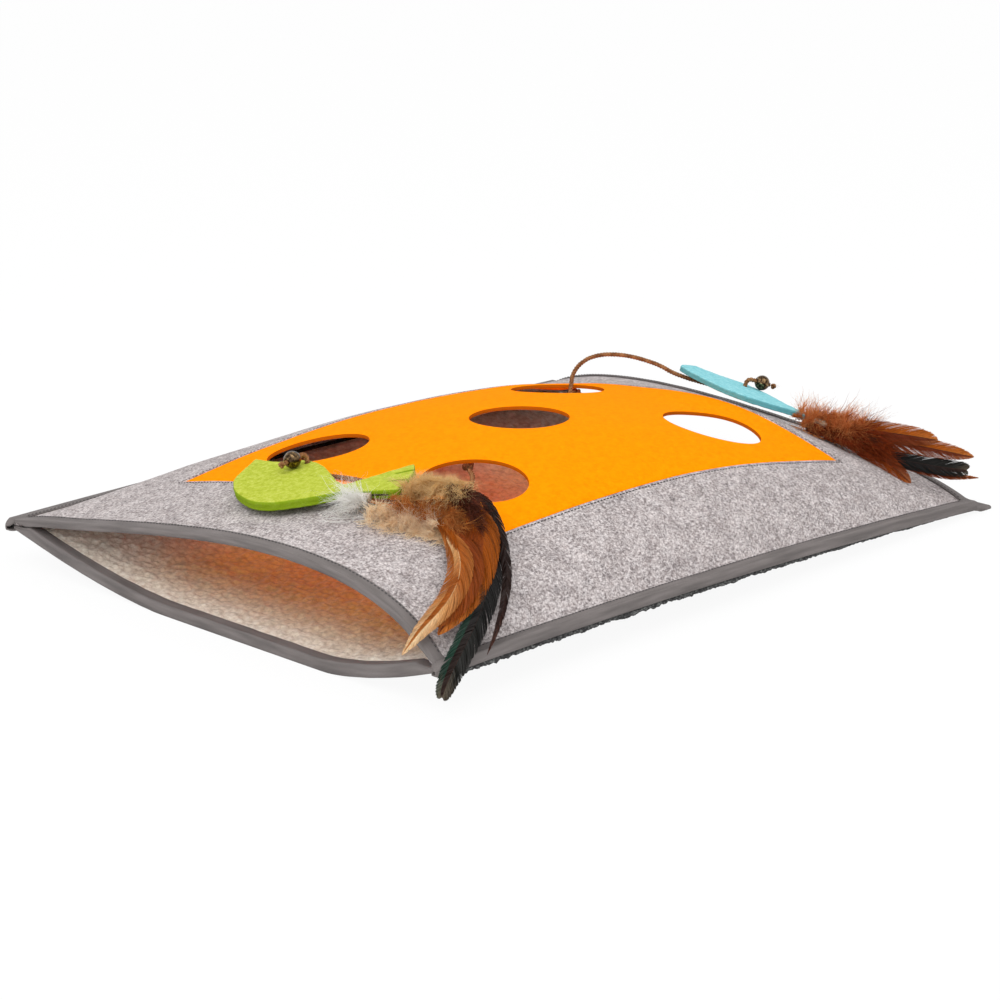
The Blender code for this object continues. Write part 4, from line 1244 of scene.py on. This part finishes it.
def makeFeather(feather):
    toy = feather["name"].split("_")[0]
    facing = facings[toy]
    spans = barbCut["spans"]
    route = smoothRoute(inMetres(feather["route"]), spans=spans)
    length = sum((route[i + 1] - route[i]).length for i in range(spans))
    rng = random.Random(feather["seed"])
    bm = bmesh.new()
    newTube(bm, route, 8, lambda i, angle: barbCut["quillRoot"]
            + (barbCut["quillTip"] - barbCut["quillRoot"]) * i / spans, 1)

    def onVane(t, side, height):
        t = clamp(t, 0, barbCut["past"])
        i = min(int(t * spans), spans - 1)
        share = t * spans - i
        point = route[i] + (route[i + 1] - route[i]) * share
        ahead = (route[min(i + 2, spans)] - route[max(i - 1, 0)]).normalized()
        across = ahead.cross(facing).normalized()
        return point + across * side + ahead.cross(across).normalized() * -height

    for way in (-1, 1):
        count = feather["barbs"]
        jitter = [rng.uniform(-1, 1) for i in range(count)]
        twist = [rng.uniform(-1, 1) for i in range(count)]
        split = sorted(rng.sample(range(8, count - 4), barbCut["splits"]))

        def place(i, edge, step):
            q = step / barbCut["steps"]
            t = feather["start"] + (barbCut["end"] - feather["start"]) * (i + 0.5) / count
            half = vaneHalf(feather, t) * (1 + 0.05 * jitter[i])
            bunch = sum(barbCut["gap"] * math.exp(-abs(i - s) / 5) * (1 if i > s else -1) for s in split)
            forward = half * feather["lean"] * q ** 1.2 / length * (1 + 0.06 * jitter[i]) + bunch * q * q
            wide = (barbCut["spread"] - feather["start"]) / count * (2.2 - 0.6 * q)
            height = barbCut["camber"] * half * (q - q * q) * 2 + 0.0003 * jitter[i] * q
            height += (edge - 0.5) * wide * length * 0.5 * twist[i]
            return onVane(t + forward * (1 - 0.45 * t ** 6) + (edge - 0.5) * wide, way * half * q, height)

        newStrips(bm, count, barbCut["steps"], place, 0 if way < 0 else 2)
    putPiece(feather["name"], bm, toy + "_feathers", feather["slot"],
             [feather["look"], feather["quill"], feather["other"]], feather["node"])


for row in feathers:
    makeFeather(dict(zip(featherKeys, row)))
print("feathers done:", len(feathers))


# Down: wavy strands that stand out from a line, and bend over above the top height
downCut = {"top": 0.1115, "over": 0.35, "clear": 0.0012, "low": 0.008, "lowLean": 0.4, "sag": 0.10, "steps": 7,
           "rootSpread": 0.0011, "waySpread": 0.30}
downKeys = "name body node slot look tufts count length width wave lean spread thick seed line".split()
downs = [
    ("green_tan_down", "green_feathers", "green_tan_plume", "tan_down", "tanDown",
     90, 3600, 0.02, 0.00034, 0.15, (0.05, 0.1, 0.45), 1.05, 0.0036, 21, [
         (-2137, -1096, 1014), (-2076, -1169, 1050), (-2033, -1268, 1082), (-1969, -1345, 1070),
         (-1966, -1453, 1035)]),
    ("green_cream_down", "green_feathers", "green_cream_plume", "pale_down", "creamDown",
     80, 3600, 0.0145, 0.00034, 0.13, (-0.3, -0.35, 0.2), 1.0, 0.0034, 22, [
         (-2334, -981, 893), (-2300, -1108, 871), (-2247, -1225, 842), (-2197, -1344, 814), (-2182, -1459, 793)]),
    ("green_amber_down", "green_feathers", None, "orange_feather", "amberDown",
     70, 2600, 0.015, 0.00036, 0.1, (0.05, -0.85, 0.1), 0.7, 0.0026, 29, [
         (-2244, -1091, 953), (-2188, -1186, 946), (-2133, -1281, 932), (-2108, -1406, 918), (-2119, -1547, 881)]),
    ("green_white_down", "green_fish", None, "pale_down", "whiteDown",
     34, 620, 0.024, 0.00024, 0.12, (-0.3, 0.8, 0.45), 1.0, 0.003, 23, [
         (-2300, -900, 960), (-2360, -820, 950), (-2400, -740, 940)]),
    ("green_brown_down", "green_feathers", None, "dark_feather", "brownDown",
     50, 1100, 0.0125, 0.0005, 0.08, (-0.1, -0.75, -0.35), 0.75, 0.0026, 24, [
         (-1975, -1361, 1074), (-1997, -1475, 1033), (-2033, -1602, 977), (-2063, -1685, 897)]),
    ("blue_rust_down", "blue_feathers", "blue_rust_plume", "rust_feather", "rustDown",
     110, 4600, 0.02, 0.00036, 0.08, (0.1, -0.6, 0.36), 0.9, 0.003, 25, [
         (2430, -940, 650), (2450, -1020, 640), (2485, -1123, 630), (2530, -1296, 620), (2575, -1445, 610)]),
    ("blue_deep_down", "blue_feathers", None, "rust_feather", "deepDown",
     90, 3000, 0.023, 0.0005, 0.05, (0.1, -1.3, -0.05), 0.65, 0.0042, 27, [
         (2460, -1020, 570), (2490, -1160, 560), (2535, -1340, 550), (2570, -1500, 530), (2600, -1650, 510)]),
    ("blue_wisps", "blue_feathers", None, "rust_feather", "deepDown",
     60, 150, 0.027, 0.0003, 0.04, (0.1, -0.9, 1.2), 0.35, 0.0026, 28, [
         (2470, -1060, 680), (2530, -1296, 680), (2600, -1550, 660)]),
    ("blue_brown_down", "blue_feathers", None, "dark_feather", "brownDown",
     20, 500, 0.016, 0.0005, 0.05, (0.1, -1.2, -0.15), 0.5, 0.0018, 26, [
         (2460, -1000, 562), (2500, -1220, 552), (2538, -1373, 534), (2568, -1556, 514)]),
]


def scattered(rng, size):
    return Vector([rng.gauss(0, size) for c in range(3)])


def makeDown(down):
    rng = random.Random(down["seed"])
    line = smoothRoute(inMetres(down["line"]), spans=40)
    lean = Vector(down["lean"])
    ahead = lean.normalized()
    forward = (line[-1] - line[0]).normalized()
    tufts = []
    for i in range(down["tufts"]):
        root = rng.choice(line) + scattered(rng, down["thick"])
        tufts.append((root, scattered(rng, 1).normalized() * down["spread"] + lean, rng.uniform(0.7, 1.15)))
    strands = []
    for i in range(down["count"]):
        start, way, reach = rng.choice(tufts)
        root = start + scattered(rng, downCut["rootSpread"])
        out = (way + scattered(rng, downCut["waySpread"])).normalized()
        out = (out - ahead * min(out.dot(ahead), 0) * 0.8).normalized()  # little reaches back past the binding
        if out.z < downCut["lowLean"]:  # low strands lie forward, clear of the hinge
            out = (out - forward * min(out.dot(forward), 0) * 0.95).normalized()
        ground = feltTop(root.x, root.y) + downCut["clear"]
        root.z = max(root.z, ground)
        if root.z - ground < downCut["low"] and out.z < 0:
            out.z *= 0.2
            out.normalize()
        side = out.orthogonal().normalized()
        side.rotate(Matrix.Rotation(rng.uniform(0, 2 * math.pi), 3, out))
        strands.append((root, out, side, out.cross(side), down["length"] * reach * rng.uniform(0.35, 1.15),
                        rng.uniform(0, 6.3), rng.uniform(0.6, 1.6), ground))

    def place(i, edge, step):
        root, out, side, other, length, phase, turns, ground = strands[i]
        q = step / downCut["steps"]
        sway = down["wave"] * length * q
        point = root + out * length * q
        point += (side * sway * math.sin(phase + 6.3 * turns * q)
                  + other * sway * math.cos(phase * 1.7 + 5.1 * turns * q))
        point.z -= downCut["sag"] * length * q * q
        point += other * down["width"] * (edge - 0.5) * (1.15 - q)
        if abs(point.x) < shell["end"] and abs(point.y) < shell["halfWidth"]:
            ground = max(ground, feltTop(point.x, point.y) + downCut["clear"])
        point.z = max(point.z, ground - 0.0004 + 0.0004 * edge)
        if point.z > downCut["top"]:
            point.z = downCut["top"] + (point.z - downCut["top"]) * downCut["over"]
        return point

    bm = bmesh.new()
    newStrips(bm, down["count"], downCut["steps"], place)
    putPiece(down["name"], bm, down["body"], down["slot"], down["look"], down["node"])


for row in downs:
    makeDown(dict(zip(downKeys, row)))
print("down done:", len(downs))


# Plain pale floor, even studio light, white behind
studio = {"floorHalf": 20.0, "floorDrop": 0.0006, "floorShade": 0.92, "floorFill": 0.93, "worldLight": 0.90,
          "lamps": [((-1.3, -0.5, 1.9), 2.2, 26.0), ((0.8, -1.0, 2.0), 1.4, 6.0), ((-2.2, -1.4, 0.7), 1.2, 6.0)]}


def shownStraight(wire):
    # 1 for what the camera sees, also through glass or in a mirror
    seen = wire.node("ShaderNodeLightPath", out="Is Camera Ray")
    return seen + seen.sibling("Is Glossy Ray") + seen.sibling("Is Transmission Ray")


def makeFloor():
    bm = bmesh.new()
    bmesh.ops.create_grid(bm, x_segments=1, y_segments=1, size=studio["floorHalf"])
    bmesh.ops.translate(bm, vec=(0, 0, -studio["floorDrop"]), verts=bm.verts)
    data = bpy.data.meshes.new("studio_floor")
    bm.to_mesh(data)
    bm.free()
    floor = addObject("studio_floor", data)
    material, wire, shader = startMaterial("studio floor", 1.0, 0.0, Base_Color=(studio["floorShade"],) * 3 + (1,))
    white = wire.node("ShaderNodeEmission", None, {"Color": (1, 1, 1, 1), "Strength": 1.0})
    wire.mixed(shownStraight(wire) * studio["floorFill"], shader.outputs[0], white).toSurface()
    data.materials.append(material)


def makeLight():
    world = bpy.data.worlds.new("studio world")
    bpy.context.scene.world = world
    world.use_nodes = True
    world.node_tree.nodes.clear()
    wire = Wire(world.node_tree)
    soft, white = [wire.node("ShaderNodeBackground", None, {"Color": (1, 1, 1, 1), "Strength": strength})
                   for strength in (studio["worldLight"], 1.0)]
    world.node_tree.nodes.new("ShaderNodeOutputWorld")
    wire.mixed(shownStraight(wire), soft.socket, white).toSurface()
    for i, (place, size, power) in enumerate(studio["lamps"]):
        light = bpy.data.lights.new("soft lamp %d" % i, "AREA")
        light.shape = "SQUARE"
        light.size = size
        light.energy = power
        lamp = addObject("soft lamp %d" % i, light)
        lamp.location = place
        lamp.rotation_euler = (-Vector(place)).to_track_quat("-Z", "Y").to_euler()


makeFloor()
makeLight()

bpy.context.scene.view_settings.view_transform = "Standard"
print("studio ready")

bpy.context.view_layer.update()
